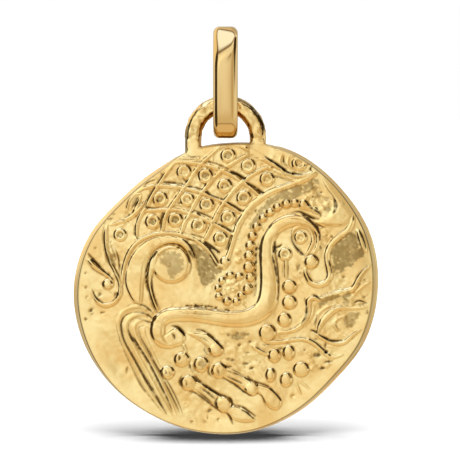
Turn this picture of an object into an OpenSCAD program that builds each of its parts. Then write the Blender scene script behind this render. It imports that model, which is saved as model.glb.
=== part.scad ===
// Medallion pendant: a cast disc with a horse in relief, hung by its pierced eye in a folded bail
// Millimetres. The origin is the inner top of the bail, where a chain would lie.
// The disc faces -Y, +X is to its right and +Z is up.

/* [Disc] */
// Thickness of the disc without its relief
disc_t = 1.3; // [1:0.1:1.8]
// How far the flat face lies in from the disc's outline
edge_in = 0.5; // [0.35:0.05:0.7]
// How far the flat face stands proud of the rolled edge
face_step = 0.06; // [0.02:0.02:0.1]

/* [Relief] */
// Height of the net, its borders and the fine strands above the face
fine_h = 0.24; // [0.15:0.01:0.35]
// Height of the horse's body and limbs above the face
bold_h = 0.36; // [0.25:0.01:0.5]
// Height of a round bead above the face, as a share of its radius
bead_rise = 0.7; // [0.4:0.05:0.9]
// Width of a rib of the net
rib_w = 0.3; // [0.2:0.02:0.4]
// Width of a strand of the tail and mane
strand_w = 0.42; // [0.3:0.02:0.5]

/* [Eye] */
// Height of the eye's centre over the disc's centre
eye_up = 12.18; // [12:0.05:12.4]
// Radius of the eye's ring, at the middle of its wire
eye_r = 2.6; // [2.4:0.05:2.7]
// Radius of the wire
eye_wire_r = 0.66; // [0.5:0.02:0.75]

/* [Bail] */
// Height of the bail
bail_h = 8.9; // [8:0.1:9.5]
// Width of the bail's strip
bail_w = 1.94; // [1.5:0.02:2.2]
// Depth of the bail from front to back
bail_d = 5; // [4:0.1:6]
// Thickness of the bail's strip
bail_wall = 0.9; // [0.7:0.05:1.1]
// Gap between the bail and the lower edge of the eye's hole
running_gap = 0.3; // [0.2:0.05:0.4]

/* [Hidden] */
gold = [0.93, 0.79, 0.47];
$fn = 48;

// Heights over the disc's centre
hole_floor = 11.6;
bail_foot = hole_floor + running_gap;
seat = bail_foot + bail_h - bail_wall;
bend_r = bail_d / 2;
edge_t = disc_t - face_step;
foot_t = 0.92 * disc_t;
border_w = 1.2 * rib_w;

// Points that a curve gets between two rows of its table
curve_steps = 3;
outline_steps = 4;
hole_steps = 2;
// A raised line is a low step with a narrower one on top
shoulder_share = 0.6;
top_share = 0.55;
// Depth that the relief reaches down into the disc
root = 0.2;
// Arc of the eye's wire, from below its centre at each side
eye_start = -30;
eye_arc = 240;
// Radius of the corners of the bail's strip, seen from the front
corner_r = 0.35;
// Length by which a cutting tool passes a surface
past = 0.1;

// Outline of the disc, columns: angle from the right, radius
disc_outline = [
    [0, 12.25], [20, 12.42], [40, 12.28], [60, 12.3], [80, 11.85], [100, 11.5],
    [120, 11.04], [140, 11.05], [160, 11.77], [180, 12.2], [200, 12.24], [220, 12.09],
    [240, 11.88], [260, 11.85], [280, 11.82], [300, 11.62], [320, 11.53], [340, 12.02]
];

// Section of the rolled edge from back to front, columns: share of edge_in, share of the thickness
edge_section = [[1.4, 0], [0.5, 0.05], [0.1, 0.23], [0, 0.5], [0.1, 0.77], [0.5, 0.94], [1.4, 1]];

// Outline of the eye's foot and of its hole, columns: right, up
foot_outline = [[-3.1, 12.2], [-3.2, 11], [-3.1, 10.2], [3.1, 10.2], [3.9, 11.2], [3.35, 11.7], [3.15, 12.2]];
hole_outline = [
    [0, hole_floor], [-1.3, 11.6], [-1.75, 11.8], [-1.95, 12.35], [-1.7, 13.2], [-1, 13.8],
    [0, 14], [1, 13.75], [1.65, 13.3], [1.95, 12.5], [1.8, 11.95], [1.3, 11.65]
];

// Lines of the relief, as points [right, up] from the disc's centre
net_ribs = [
    [[-7.1, 3.9], [-7.05, 5], [-6.75, 5.8], [-5.85, 7.4], [-4.7, 9.2], [-4.1, 10]],
    [[-5.1, 4.5], [-4.9, 5.5], [-3.95, 7.1], [-2.95, 8.45], [-1.9, 9.95], [-0.5, 11.2]],
    [[-3.6, 4.3], [-2.95, 5.8], [-2, 7.5], [-0.6, 9.1], [1.1, 10.3], [2.1, 10.8]],
    [[-1.75, 3.75], [-1.1, 5], [-0.35, 6.5], [0.8, 7.95], [2.5, 9.25], [3.3, 9.65]]
];
net_ties = [
    [[-4.1, 10.05], [-2, 9.9], [-0.4, 9.4], [1.1, 8.65], [2.75, 7.35]],
    [[-7.3, 7.5], [-5.6, 8.15], [-3.4, 8], [-1.8, 7.6], [-0.1, 6.85], [1.5, 5.85]],
    [[-6.6, 6.15], [-4.7, 6.25], [-3.1, 6.05], [-1.6, 5.45], [0.6, 4.25]]
];
net_edges = [
    [[-9.1, 5.05], [-8.2, 5.35], [-6.9, 6.3], [-6.4, 6.9]],
    [[-8.3, 0.3], [-7.85, 2.5], [-6.6, 3.95], [-4.7, 4.38], [-2.8, 4], [-1.4, 3.05], [-0.3, 1.7]],
    [[-0.5, 11.2], [0.9, 11.35], [2.5, 10.65], [4.1, 9.7], [5.7, 8.95], [7.2, 9.35]]
];
strands = [
    [[-5.6, -2], [-7.1, -1.5], [-8.4, -2.2], [-8.3, -4.1], [-7.2, -6.3], [-5.9, -8.7], [-4.6, -10.4]],
    [[-5.7, -2.35], [-7, -2.15], [-7.95, -3], [-7.4, -4.7], [-6.3, -6.8], [-4.3, -10.3]],
    [[-5.9, -2.75], [-6.9, -2.7], [-7.3, -3.4], [-6.5, -5.25], [-5.05, -8], [-3.95, -10.3]],
    [[-6.05, -3.05], [-6.5, -3.6], [-5.8, -5.35], [-4.45, -8], [-3.45, -10.3]],
    [[-9.4, 5.1], [-9.5, 3.2], [-8.95, 1.55], [-8.42, 0.1], [-8.9, -1.15], [-9.8, -1.35], [-10.7, -0.15]],
    [[-11.15, 2.5], [-10, 1.42], [-9, 0.55]],
    [[6.35, 1.5], [6.8, 0.45], [8, 0.45], [8.22, 1.6], [8.12, 2.9], [9.7, 4.6], [10.2, 6]],
    [[4.3, -3.6], [5.7, -3.25], [6.55, -2.1], [6.65, -1], [7.6, -0.85], [10.2, -0.02], [11.5, 1.75]],
    [[7.35, -3.75], [7.95, -2.4], [9.1, -1.6], [11.2, -1.55]],
    [[7, -3.6], [8.4, -4.35], [9.5, -4.35], [10.8, -3.35]],
    [[3, -4.2], [4.4, -4.35], [6, -4.1], [7.5, -4.8], [9.3, -5.45]],
    [[2.1, -4.6], [2.9, -5.15], [3.6, -5.4]],
    [[4.8, 2.3], [4.8, 1.5], [4.8, 0.7]],
    [[6.1, 6.6], [6.8, 6.35], [7.6, 5.85]]
];

// Broad lines of the relief, as rows [right, up, width]
haunch = [
    [-6.9, -1.3, 0.4], [-7.3, 0.6, 1.4], [-7.1, 1.9, 1.3], [-5.7, 3.5, 0.95],
    [-3.7, 3.7, 0.6], [-2.55, 2.5, 0.35], [-2.4, 1.6, 0.2]
];
comma = [[-5.45, -2, 0.15], [-6, -0.3, 0.3], [-6.1, 0.6, 0.34], [-5.6, 2, 0.9], [-4.9, 2.1, 1.6]];
body = [
    [-4.3, -4.65, 0.4], [-5.25, -4.15, 0.95], [-5.45, -3.1, 1.1], [-4.4, -2.15, 1.1], [-2.2, -2.15, 1.1],
    [0.2, -2.45, 1.2], [2.2, -2.2, 1.35], [3.35, -1, 1.5], [3.45, 0.8, 1.4], [3.25, 2.6, 1.1],
    [3.55, 4.2, 1], [4.8, 5.3, 1], [6.3, 5.25, 0.8], [7.3, 4.4, 0.5], [6.95, 2.75, 0.3]
];
cheek = [[4.3, 4.3, 0.7], [5.1, 4.6, 1.2], [6.3, 3.6, 1.5], [6.8, 2.3, 0.8]];
sail_spine = [[0.05, 2.2, 0.5], [0.6, 3.9, 0.42], [1.3, 5.6, 0.55], [2.7, 7.1, 0.58], [4.9, 8.15, 0.52], [7.3, 9.3, 0.3]];
swirl = [[7.6, 9.2, 0.2], [8.6, 7.6, 0.6], [9.2, 6.25, 0.95], [8.2, 5.45, 0.6], [7, 5.3, 0.15]];
thigh = [[-2.9, -3.65, 0.2], [-2.2, -3.85, 0.45], [-1.5, -4.15, 0.75], [-1, -4.55, 0.95]];
hind_leg = [[-2.8, -7.7, 0.7], [-1.4, -8.55, 0.85], [-0.2, -9.4, 0.95], [0.8, -10.1, 0.95], [2.2, -10.6, 0.3]];
fore_leg = [[-0.3, -6.7, 0.8], [1.1, -7.4, 0.85], [2.2, -8.05, 0.8], [3.1, -8.45, 0.8], [3.95, -9.5, 0.7]];

// Round beads, as rows [right, up, radius]
beads = [
    [-4.05, -3.95, 0.8], [6.15, 3.9, 0.42], [6.85, 2.1, 0.58], [0, 2.15, 0.48], [-9.35, 0.3, 0.46],
    [5.1, 0.1, 0.59], [5.1, -1.15, 0.6], [4.7, -2.55, 0.58], [3.35, -3.6, 0.71],
    [-0.75, -4.95, 0.6], [-3.5, -5.75, 0.63], [-4.65, -6.8, 0.58], [-1.95, -6.15, 0.65], [-0.5, -6.65, 0.66],
    [-2.95, -7.65, 0.66], [-0.15, -9.4, 0.66], [2.1, -8.1, 0.59],
    [3.9, -5.45, 0.56], [5.05, -5.2, 0.57], [3.6, -7, 0.5], [4.85, -7.4, 0.57], [6.05, -6.55, 0.65]
];
mane_beads = [
    [2, -0.1, 0.33], [1.95, 0.8, 0.36], [1.9, 1.65, 0.38], [2, 2.55, 0.4], [2.1, 3.45, 0.38], [2.3, 4.2, 0.36],
    [2.55, 4.9, 0.34], [2.95, 5.5, 0.3], [3.4, 5.85, 0.26], [3.8, 6.25, 0.26], [4.3, 6.5, 0.3], [4.9, 6.7, 0.32],
    [5.5, 6.75, 0.3]
];
rosette = [0.45, 0, 1.02];
rosette_beads = 8;
rosette_bead_r = 0.28;
// Flat boss of the haunch: right, up, radius at the face, radius on top
haunch_boss = [-4.15, 1.75, 1.42, 1.1];
haunch_boss_h = 0.26;

// Rings with a dot inside, as rows [right, up]
rings = [
    [0.2, 10.55], [1.8, 9.75], [3.3, 8.7], [-3.3, 9.25], [-1.6, 8.95], [-0.05, 8.15], [1.45, 7.2], [-5.2, 7.1],
    [-3.05, 7.05], [-1.5, 6.65], [0.2, 5.6], [-5.8, 5.3], [-4, 5.45], [-2.15, 5], [-0.4, 3.95], [-8.4, 4.25],
    [5.85, 9.95], [4.75, 2.7]
];
ring_r = 0.6;
ring_w = 0.2;
dot_r = 0.24;

// A point t of the way from row i to the next, on a curve through all the rows
function between(rows, i, t) =
    let (last = len(rows) - 1)
    let (a = rows[max(i - 1, 0)], b = rows[i], c = rows[i + 1], d = rows[min(i + 2, last)])
    0.5 * (2 * b + (c - a) * t + (2 * a - 5 * b + 4 * c - d) * t * t + (3 * b - a - 3 * c + d) * t * t * t);

function smooth(rows, steps) = [
    for (i = [0:len(rows) - 2], k = [0:steps - 1]) between(rows, i, k / steps),
    rows[len(rows) - 1]
];

// The same for a closed loop
function smooth_loop(rows, steps) =
    let (n = len(rows))
    [
        for (i = [0:n - 1], k = [0:steps - 1])
            between([rows[(i + n - 1) % n], rows[i], rows[(i + 1) % n], rows[(i + 2) % n]], 1, k / steps)
    ];

// Direction of a line at its point i
function heading(line, i) =
    let (a = line[max(i - 1, 0)], b = line[min(i + 1, len(line) - 1)])
    let (way = [b.x - a.x, b.y - a.y])
    way / norm(way);

function beside(line, i, reach) =
    let (way = heading(line, i))
    [line[i].x - reach * line[i].z * way.y, line[i].y + reach * line[i].z * way.x];

// Both sides of a line of varying width, at a share of that width, short of its ends by some points
function stroke_outline(rows, share, short) =
    let (line = smooth(rows, curve_steps), last = len(line) - 1 - short, reach = share / 2)
    [
        for (i = [short:last]) beside(line, i, reach),
        for (i = [last:-1:short]) beside(line, i, -reach)
    ];

// A line of one width that thins at its ends
function even_line(points, width) =
    [for (i = [0:len(points) - 1]) [points[i].x, points[i].y, (i == 0 || i == len(points) - 1) ? width / 2 : width]];

function polar(angle, radius) = [radius * cos(angle), radius * sin(angle)];

// Radius of the disc for a row of angle and radius, less an inset
function disc_ring(inset) = [
    for (p = smooth_loop([for (row = disc_outline) polar(row[0], row[1])], outline_steps)) p * (1 - inset / norm(p))
];

module strokes(lines, share, short) {
    for (rows = lines) polygon(stroke_outline(rows, share, short));
}

// Lines raised in two steps, the upper one narrower and shorter
module raised(lines, height) {
    translate([0, 0, -root]) {
        linear_extrude(root + height * shoulder_share) strokes(lines, 1, 0);
        linear_extrude(root + height) strokes(lines, top_share, 1);
    }
}

// Cap of a ball, as wide as the bead at the face
module bead(radius, height) {
    ball_r = (radius * radius + height * height) / (2 * height);
    translate([0, 0, height - ball_r]) sphere(ball_r);
}

module ring_with_dot() {
    difference() {
        translate([0, 0, -root]) cylinder(h = root + fine_h, r = ring_r);
        cylinder(h = fine_h + past, r = ring_r - ring_w);
    }
    bead(dot_r, fine_h * top_share);
}

// The rolled edge and both faces, as rings of points joined in turn
module blank() {
    sides = len(disc_ring(0));
    rows = len(edge_section);
    points = [
        for (row = edge_section) for (p = disc_ring(row[0] * edge_in)) [p.x, p.y, row[1] * edge_t - disc_t / 2],
        [0, 0, -disc_t / 2],
        [0, 0, edge_t - disc_t / 2]
    ];
    walls = [
        for (k = [0:rows - 2], i = [0:sides - 1])
            let (j = (i + 1) % sides, low = k * sides, high = low + sides)
            each [[low + j, low + i, high + i], [low + j, high + i, high + j]]
    ];
    back = [for (i = [0:sides - 1]) [i, (i + 1) % sides, rows * sides]];
    front = [for (i = [0:sides - 1]) let (top = (rows - 1) * sides) [top + (i + 1) % sides, top + i, rows * sides + 1]];
    polyhedron(points, concat(walls, back, front));
}

module face_plate() {
    linear_extrude(disc_t / 2) polygon(disc_ring(edge_in));
}

module relief() {
    fine = concat(
        [for (line = concat(net_ribs, net_ties)) even_line(line, rib_w)],
        [for (line = net_edges) even_line(line, border_w)],
        [for (line = strands) even_line(line, strand_w)]
    );
    bold = [haunch, comma, body, cheek, sail_spine, swirl, thigh, hind_leg, fore_leg];
    raised(fine, fine_h);
    raised(bold, bold_h);
    for (row = concat(beads, mane_beads)) translate([row[0], row[1], 0]) bead(row[2], row[2] * bead_rise);
    for (k = [0:rosette_beads - 1])
        translate([rosette.x, rosette.y, 0] + concat(polar(k * 360 / rosette_beads, rosette[2]), 0))
            bead(rosette_bead_r, rosette_bead_r * bead_rise);
    translate([haunch_boss[0], haunch_boss[1], 0])
        cylinder(h = haunch_boss_h, r1 = haunch_boss[2], r2 = haunch_boss[3]);
    for (row = rings) translate([row[0], row[1], 0]) ring_with_dot();
}

module hole() {
    translate([0, 0, -disc_t]) linear_extrude(2 * disc_t) polygon(smooth_loop(hole_outline, hole_steps));
}

// The pierced eye: a round wire bent into an arch, on a foot that runs down into the disc
module eye() {
    difference() {
        translate([0, 0, -foot_t / 2]) linear_extrude(foot_t) polygon(foot_outline);
        hole();
    }
    translate([0, eye_up, 0]) rotate([0, 0, eye_start])
        rotate_extrude(angle = eye_arc) translate([eye_r, 0]) circle(eye_wire_r);
}

module medallion() {
    color(gold) translate([0, 0, -seat]) rotate([90, 0, 0]) {
        difference() {
            union() {
                blank();
                face_plate();
            }
            hole();
        }
        translate([0, 0, disc_t / 2]) relief();
        eye();
    }
}

// A long flattened loop, seen from the side
module loop_outline(radius) {
    for (up = [bail_foot + bend_r, bail_foot + bail_h - bend_r]) translate([0, up]) circle(radius);
    translate([-radius, bail_foot + bend_r]) square([2 * radius, bail_h - bail_d]);
}

// The strip's outline from the front, with rounded corners
module strip_outline() {
    for (side = [-1, 1], up = [bail_foot + corner_r, bail_foot + bail_h - corner_r])
        translate([side * (bail_w / 2 - corner_r), up]) circle(corner_r);
    translate([-bail_w / 2, bail_foot + corner_r]) square([bail_w, bail_h - 2 * corner_r]);
    translate([corner_r - bail_w / 2, bail_foot]) square([bail_w - 2 * corner_r, bail_h]);
}

module bail() {
    color(gold) translate([0, 0, -seat]) intersection() {
        rotate([90, 0, 90]) translate([0, 0, -bail_w / 2]) linear_extrude(bail_w) difference() {
            loop_outline(bend_r);
            loop_outline(bend_r - bail_wall);
        }
        rotate([90, 0, 0]) translate([0, 0, -bail_d]) linear_extrude(2 * bail_d) strip_outline();
    }
}

bail();
medallion();
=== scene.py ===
"""A cast gold medallion with a horse in low relief, hung by its pierced eye in a folded bail."""
import math

import bmesh
import bpy
import numpy as np
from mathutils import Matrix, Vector


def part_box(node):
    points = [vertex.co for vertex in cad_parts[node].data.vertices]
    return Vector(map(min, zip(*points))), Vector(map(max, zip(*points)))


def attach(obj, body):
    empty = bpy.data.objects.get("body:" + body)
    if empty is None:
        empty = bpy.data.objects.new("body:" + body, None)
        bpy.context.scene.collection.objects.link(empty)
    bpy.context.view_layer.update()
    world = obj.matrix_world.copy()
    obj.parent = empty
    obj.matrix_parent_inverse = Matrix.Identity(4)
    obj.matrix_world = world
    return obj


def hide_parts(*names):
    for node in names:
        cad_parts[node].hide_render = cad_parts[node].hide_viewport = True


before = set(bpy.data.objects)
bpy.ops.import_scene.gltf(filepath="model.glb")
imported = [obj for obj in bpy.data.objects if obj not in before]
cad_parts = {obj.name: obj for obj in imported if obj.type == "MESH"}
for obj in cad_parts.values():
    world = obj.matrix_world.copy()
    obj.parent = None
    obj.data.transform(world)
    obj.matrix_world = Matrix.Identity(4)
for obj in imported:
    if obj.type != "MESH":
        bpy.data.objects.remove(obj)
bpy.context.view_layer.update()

# Sizes are in millimetres. Right and up are counted from the disc's centre, seen from the front
MM = 0.001
# The bail's foot over the disc's centre, the centre's height in the frame, and half the disc's thickness
BAIL_FOOT = 11.9
DISC_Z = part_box("bail")[0][2] / MM - BAIL_FOOT
HALF_T = .65
# Cells along each side of the grid that becomes the face
FACE_CELLS = 276

# Outline of the disc: angle from the right in degrees, radius, width of the rolled edge
OUTLINE = [
    (0, 12.25, .5), (20, 12.42, .47), (40, 12.28, .34), (60, 12.3, .28), (72, 12.15, .2), (80, 11.92, .1),
    (90, 11.7, .07), (100, 11.58, .07), (107, 11.4, .12), (120, 11.04, .3), (140, 11.05, .32),
    (160, 11.77, .4), (180, 12.2, .45), (200, 12.24, .42), (220, 12.09, .3), (240, 11.88, .25),
    (260, 11.85, .28), (280, 11.82, .32), (300, 11.62, .42), (320, 11.53, .5), (340, 12.02, .52),
]
# Rolled edge from face to back: inset from the outline as a share of its width, depth below the face
EDGE = [
    (.95, .01), (.88, .04), (.8, .1), (.7, .24), (.58, .45), (.42, .68), (.25, .86), (.08, .99),
    (0, 1.08), (.04, 1.18), (.3, 1.26), (1, 1.3), (3, 1.3),
]

# Lines of the relief, grouped by how they stand up, in rows of right, up, width. First the sail's net
NET = {
    "rib_1": [(-7.1, 3.9, .22), (-7.05, 5, .26), (-6.75, 5.8, .28), (-6.3, 6.5, .28), (-5.85, 7.4, .28),
              (-5.3, 8.3, .28), (-4.7, 9.2, .28), (-4.1, 10, .25)],
    "rib_2": [(-5.1, 4.5, .25), (-4.9, 5.5, .28), (-4.5, 6.3, .28), (-3.95, 7.1, .3), (-3.4, 7.85, .3),
              (-2.95, 8.45, .3), (-2.5, 9.2, .3), (-1.9, 9.95, .3), (-1.2, 10.6, .28), (-.5, 11.2, .25)],
    "rib_3": [(-3.6, 4.3, .25), (-3.35, 5, .28), (-2.95, 5.8, .3), (-2.5, 6.7, .3), (-2, 7.5, .3),
              (-1.35, 8.3, .3), (-.6, 9.1, .3), (.2, 9.7, .3), (1.1, 10.3, .28), (2.1, 10.8, .25)],
    "rib_4": [(-1.75, 3.75, .25), (-1.45, 4.3, .3), (-1.1, 5, .32), (-.8, 5.7, .32), (-.35, 6.5, .32),
              (.15, 7.2, .32), (.8, 7.95, .32), (1.6, 8.65, .3), (2.5, 9.25, .28), (3.3, 9.65, .25)],
    "tie_1": [(-4.1, 10.05, .22), (-3, 10, .25), (-2, 9.9, .28), (-1.2, 9.72, .28), (-.4, 9.4, .28),
              (.4, 9.05, .28), (1.1, 8.65, .28), (1.8, 8.15, .28), (2.75, 7.35, .25)],
    "tie_2": [(-7.4, 7.45, .2), (-6.6, 7.95, .28), (-5.6, 8.15, .28), (-4.4, 8.12, .28), (-3.4, 8, .28),
              (-2.6, 7.82, .28), (-1.8, 7.6, .28), (-1, 7.25, .28), (-.1, 6.85, .28), (.7, 6.35, .28),
              (1.5, 5.85, .25)],
    "tie_3": [(-6.6, 6.15, .22), (-5.5, 6.2, .26), (-4.7, 6.25, .28), (-3.9, 6.25, .28),
              (-3.1, 6.05, .28), (-2.3, 5.8, .28), (-1.6, 5.45, .28), (-.9, 5.1, .28), (-.2, 4.75, .28),
              (.6, 4.25, .25)],
}
# Borders of the sail
BORDERS = {
    "side": [(-9.1, 5.05, .18), (-8.2, 5.35, .32), (-7.5, 5.75, .38), (-6.9, 6.3, .38), (-6.4, 6.9, .25)],
    "foot": [(-8.3, .3, .2), (-8.15, 1.4, .28), (-7.85, 2.5, .3), (-7.3, 3.4, .32), (-6.6, 3.95, .32),
             (-5.7, 4.28, .32), (-4.7, 4.38, .32), (-3.7, 4.3, .32), (-2.8, 4, .32), (-2, 3.6, .32),
             (-1.4, 3.05, .32), (-.95, 2.4, .34), (-.6, 1.85, .34), (-.1, 1.7, .4)],
    "crown": [(-.5, 11.2, .25), (.2, 11.5, .3), (.9, 11.45, .32), (1.6, 11.15, .32), (2.5, 10.65, .34),
              (3.3, 10.2, .36), (4.1, 9.7, .36), (4.9, 9.2, .36), (5.7, 8.95, .38), (6.5, 9, .4),
              (7.2, 9.35, .3)],
    "crown_line": [(3.3, 9.65, .22), (4.1, 9.3, .24), (4.9, 8.85, .22), (5.6, 8.65, .2),
                   (6.3, 8.75, .15)],
}
# Fine strands: the rein, the forelegs, the leaves and the cuffs
STRANDS = {
    "corner_arc_1": [(5.2, 10.6, .1), (4.98, 10.25, .14), (4.93, 9.9, .15), (5.1, 9.55, .15),
                     (5.45, 9.3, .1)],
    "corner_arc_2": [(4.55, 10.7, .08), (4.36, 10.3, .14), (4.34, 9.95, .16), (4.5, 9.65, .1)],
    "eyelid": [(6.32, 2.5, .15), (5.9, 3, .22), (5.5, 3.45, .24), (5.22, 4.1, .26), (5.45, 4.68, .26),
               (5.97, 4.92, .26), (6.5, 4.78, .26), (6.88, 4.35, .26), (6.95, 3.75, .26), (6.7, 3.1, .24),
               (6.35, 2.5, .2)],
    "right_leaf": [(10.5, 4.75, .1), (10.72, 4.15, .42), (11, 3.4, .5), (11.25, 2.75, .12)],
    "rein": [(6.35, 1.5, .22), (6.45, .95, .3), (6.8, .45, .35), (7.4, .25, .4), (8, .45, .42),
             (8.3, .95, .42), (8.22, 1.6, .4), (8.08, 2.2, .38), (8.12, 2.9, .4), (8.5, 3.6, .42),
             (9.1, 4.15, .45), (9.7, 4.6, .45), (10, 5.1, .4), (10.15, 5.7, .3), (10.3, 6.1, .12)],
    "mane_tip": [(6.1, 6.6, .4), (6.8, 6.35, .42), (7.3, 6.1, .35), (7.6, 5.85, .15)],
    "chest_stem": [(4.8, 2.2, .25), (4.8, 1.5, .22), (4.8, .9, .25)],
    "wave": [(3, -4.2, .2), (3.6, -4.35, .28), (4.4, -4.35, .3), (5.2, -4.2, .3), (6, -4.1, .3),
             (6.8, -4.3, .3), (7.5, -4.8, .3), (8, -5.3, .28), (8.6, -5.6, .22), (9.4, -5.4, .12)],
    "foreleg_1": [(4.3, -3.6, .2), (5, -3.5, .28), (5.7, -3.25, .36), (6.2, -2.75, .42),
                  (6.55, -2.1, .42), (6.55, -1.5, .4), (6.65, -1, .38), (7, -.78, .35), (7.6, -.85, .38),
                  (8.3, -.65, .42), (9, -.42, .42), (9.7, -.25, .42), (10.2, -.02, .38), (10.5, .6, .36),
                  (10.9, 1.2, .33), (11.4, 1.7, .22), (11.65, 1.85, .12)],
    "foreleg_1_back": [(7.05, -1.4, .12), (6.98, -2, .18), (6.7, -2.6, .18), (6.3, -3.1, .12)],
    "fork": [(10, -.9, .12), (10.5, -.3, .22), (11, .15, .22), (11.5, .4, .12)],
    "foreleg_2": [(7.35, -3.75, .15), (7.55, -3, .34), (7.95, -2.4, .45), (8.5, -1.88, .45),
                  (9.1, -1.6, .36), (9.8, -1.65, .22), (10.6, -1.65, .18), (11.4, -1.55, .1)],
    "foreleg_2_back": [(7.1, -3.3, .12), (7.2, -2.6, .18), (7.5, -2, .18), (8.2, -1.5, .18),
                       (9, -1.35, .12)],
    "low_v": [(7, -3.6, .12), (7.7, -4, .26), (8.4, -4.35, .3), (9, -4.48, .32), (9.5, -4.35, .32),
              (10, -3.95, .3), (10.5, -3.55, .22), (10.9, -3.35, .1)],
    "hook": [(8.95, -3.45, .18), (8.68, -2.9, .22), (8.95, -2.5, .22), (9.5, -2.3, .15)],
    "thigh_cuff": [(-1.6, -4.75, .12), (-1.62, -5.2, .18), (-1.3, -5.55, .18), (-.85, -5.72, .12)],
    "tail_stem": [(-3.35, -4.6, .22), (-3.2, -5, .22), (-3.35, -5.35, .2)],
    "bead_cuff": [(-2.75, -6.1, .12), (-2.7, -6.5, .18), (-2.45, -6.85, .18), (-2.05, -7, .12)],
    "twig": [(2.1, -4.6, .15), (2.6, -5, .26), (3.1, -5.25, .28), (3.5, -5.4, .2)],
    "spur_1": [(5.62, -7.6, .1), (5.85, -8.15, .16), (6.05, -8.6, .1)],
    "spur_2": [(5.95, -7.5, .1), (6.3, -7.8, .16), (6.7, -8.1, .1)],
    "crescent": [(-9.4, 5.1, .12), (-9.55, 4.2, .26), (-9.5, 3.2, .3), (-9.25, 2.3, .3),
                 (-8.95, 1.55, .3), (-8.6, .85, .3), (-8.42, .1, .3), (-8.5, -.6, .32),
                 (-8.9, -1.15, .34), (-9.55, -1.4, .34), (-10.15, -1.15, .3), (-10.5, -.65, .24),
                 (-10.75, -.15, .1)],
    "spear": [(-11.15, 2.5, .1), (-10.6, 1.9, .3), (-10, 1.42, .34), (-9.4, .98, .3), (-9, .55, .2)],
    "leaf_2": [(-8.95, 3.5, .1), (-8.72, 2.8, .16), (-8.58, 2.1, .16), (-8.6, 1.5, .1)],
    "leaf_3": [(-7.85, 6, .1), (-7.72, 6.8, .22), (-7.3, 7.45, .24), (-6.75, 7.5, .14)],
    "leaf_4": [(-6.7, 7.4, .1), (-6.9, 6.8, .2), (-7.3, 6.15, .15)],
    "leaf_5": [(-6.2, 8.55, .1), (-5.8, 8.7, .22), (-5.4, 8.72, .1)],
}
# Flat strands of the tail
TAIL = {
    "strand_1": [(-5.6, -2, .15), (-6.3, -1.65, .35), (-7.1, -1.5, .45), (-7.9, -1.7, .45),
                 (-8.4, -2.2, .45), (-8.55, -3, .45), (-8.3, -4.1, .45), (-7.8, -5.15, .45),
                 (-7.2, -6.3, .45), (-6.6, -7.5, .42), (-5.9, -8.7, .38), (-5.1, -9.75, .28),
                 (-4.6, -10.4, .12)],
    "strand_2": [(-5.7, -2.35, .15), (-6.3, -2.15, .3), (-7, -2.15, .4), (-7.6, -2.45, .45),
                 (-7.95, -3, .45), (-7.85, -3.7, .42), (-7.4, -4.7, .42), (-6.9, -5.7, .42),
                 (-6.3, -6.8, .42), (-5.75, -7.8, .4), (-5.2, -8.8, .38), (-4.6, -9.8, .25),
                 (-4.3, -10.3, .12)],
    "strand_3": [(-5.9, -2.75, .12), (-6.6, -2.6, .28), (-7.15, -2.85, .38), (-7.3, -3.4, .4),
                 (-7.05, -4.2, .38), (-6.5, -5.25, .38), (-6, -6.15, .4), (-5.5, -7.1, .4),
                 (-5.05, -8, .38), (-4.6, -8.9, .35), (-4.15, -9.8, .22), (-3.95, -10.3, .1)],
    "strand_4": [(-6.05, -3.05, .12), (-6.45, -3.15, .22), (-6.5, -3.7, .26), (-6.2, -4.5, .28),
                 (-5.8, -5.35, .28), (-5.35, -6.3, .28), (-4.95, -7.1, .3), (-4.45, -8, .3),
                 (-4, -8.9, .28), (-3.7, -9.6, .2), (-3.45, -10.3, .1)],
}
# Broad bands: the haunch with its comma, and the sail's spine
BROAD = {
    "haunch": [(-6.9, -1.3, .4), (-7.15, -.5, 1), (-7.3, .6, 1.4), (-7.1, 1.9, 1.3), (-6.55, 2.85, 1.15),
               (-5.7, 3.55, .95), (-4.7, 3.85, .75), (-3.7, 3.75, .6), (-3, 3.3, .5), (-2.55, 2.5, .35),
               (-2.4, 1.6, .2)],
    "comma": [(-5.4, -1.9, .2), (-5.75, -1, .36), (-5.98, -.2, .4), (-6.08, .6, .42), (-5.98, 1.35, .55),
              (-5.6, 2.1, 1), (-5, 2.4, 1.6)],
    "curl_end": [(-4.9, -4.15, .6), (-4.3, -4.1, 1.2), (-3.95, -3.95, 1.4)],
    "sail_spine": [(.05, 2.2, .5), (.35, 3, .4), (.6, 3.9, .42), (.9, 4.8, .5), (1.3, 5.6, .55),
                   (1.9, 6.4, .58), (2.7, 7.1, .58), (3.7, 7.7, .55), (4.9, 8.15, .52), (6, 8.55, .5),
                   (6.9, 9, .45), (7.4, 9.4, .3)],
}
# The broad swirl at the upper right
SWIRL = [
    (7.6, 9.1, .3), (8.05, 8.55, .7), (8.55, 7.95, 1.15), (9.2, 7.25, 1.6), (9.5, 6.5, 1.9),
    (9.2, 5.8, 1.7), (8.5, 5.4, 1.1), (7.75, 5.25, .7), (7.1, 5.2, .3),
]
# Bones and hooves of the two legs at the bottom
LIMBS = {
    "thigh": [(-2.9, -3.65, .2), (-2.2, -3.85, .45), (-1.5, -4.15, .75), (-1, -4.55, .95)],
    "hind_bone": [(-2.8, -7.7, .7), (-2.1, -8.05, .8), (-1.4, -8.55, .85), (-.7, -9.1, .95),
                  (-.2, -9.4, 1)],
    "hind_hoof": [(.1, -9.7, .5), (.8, -10.1, .95), (1.5, -10.4, .8), (2.2, -10.6, .3)],
    "fore_bone": [(-.3, -6.7, .8), (.4, -6.95, .85), (1.1, -7.4, .85), (1.8, -7.85, .8),
                  (2.2, -8.05, .8)],
    "fore_hoof": [(2.3, -8, .5), (2.9, -8.25, .7), (3.5, -8.7, 1.1), (3.9, -9.2, 1.1), (4.1, -9.55, .5)],
}
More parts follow.
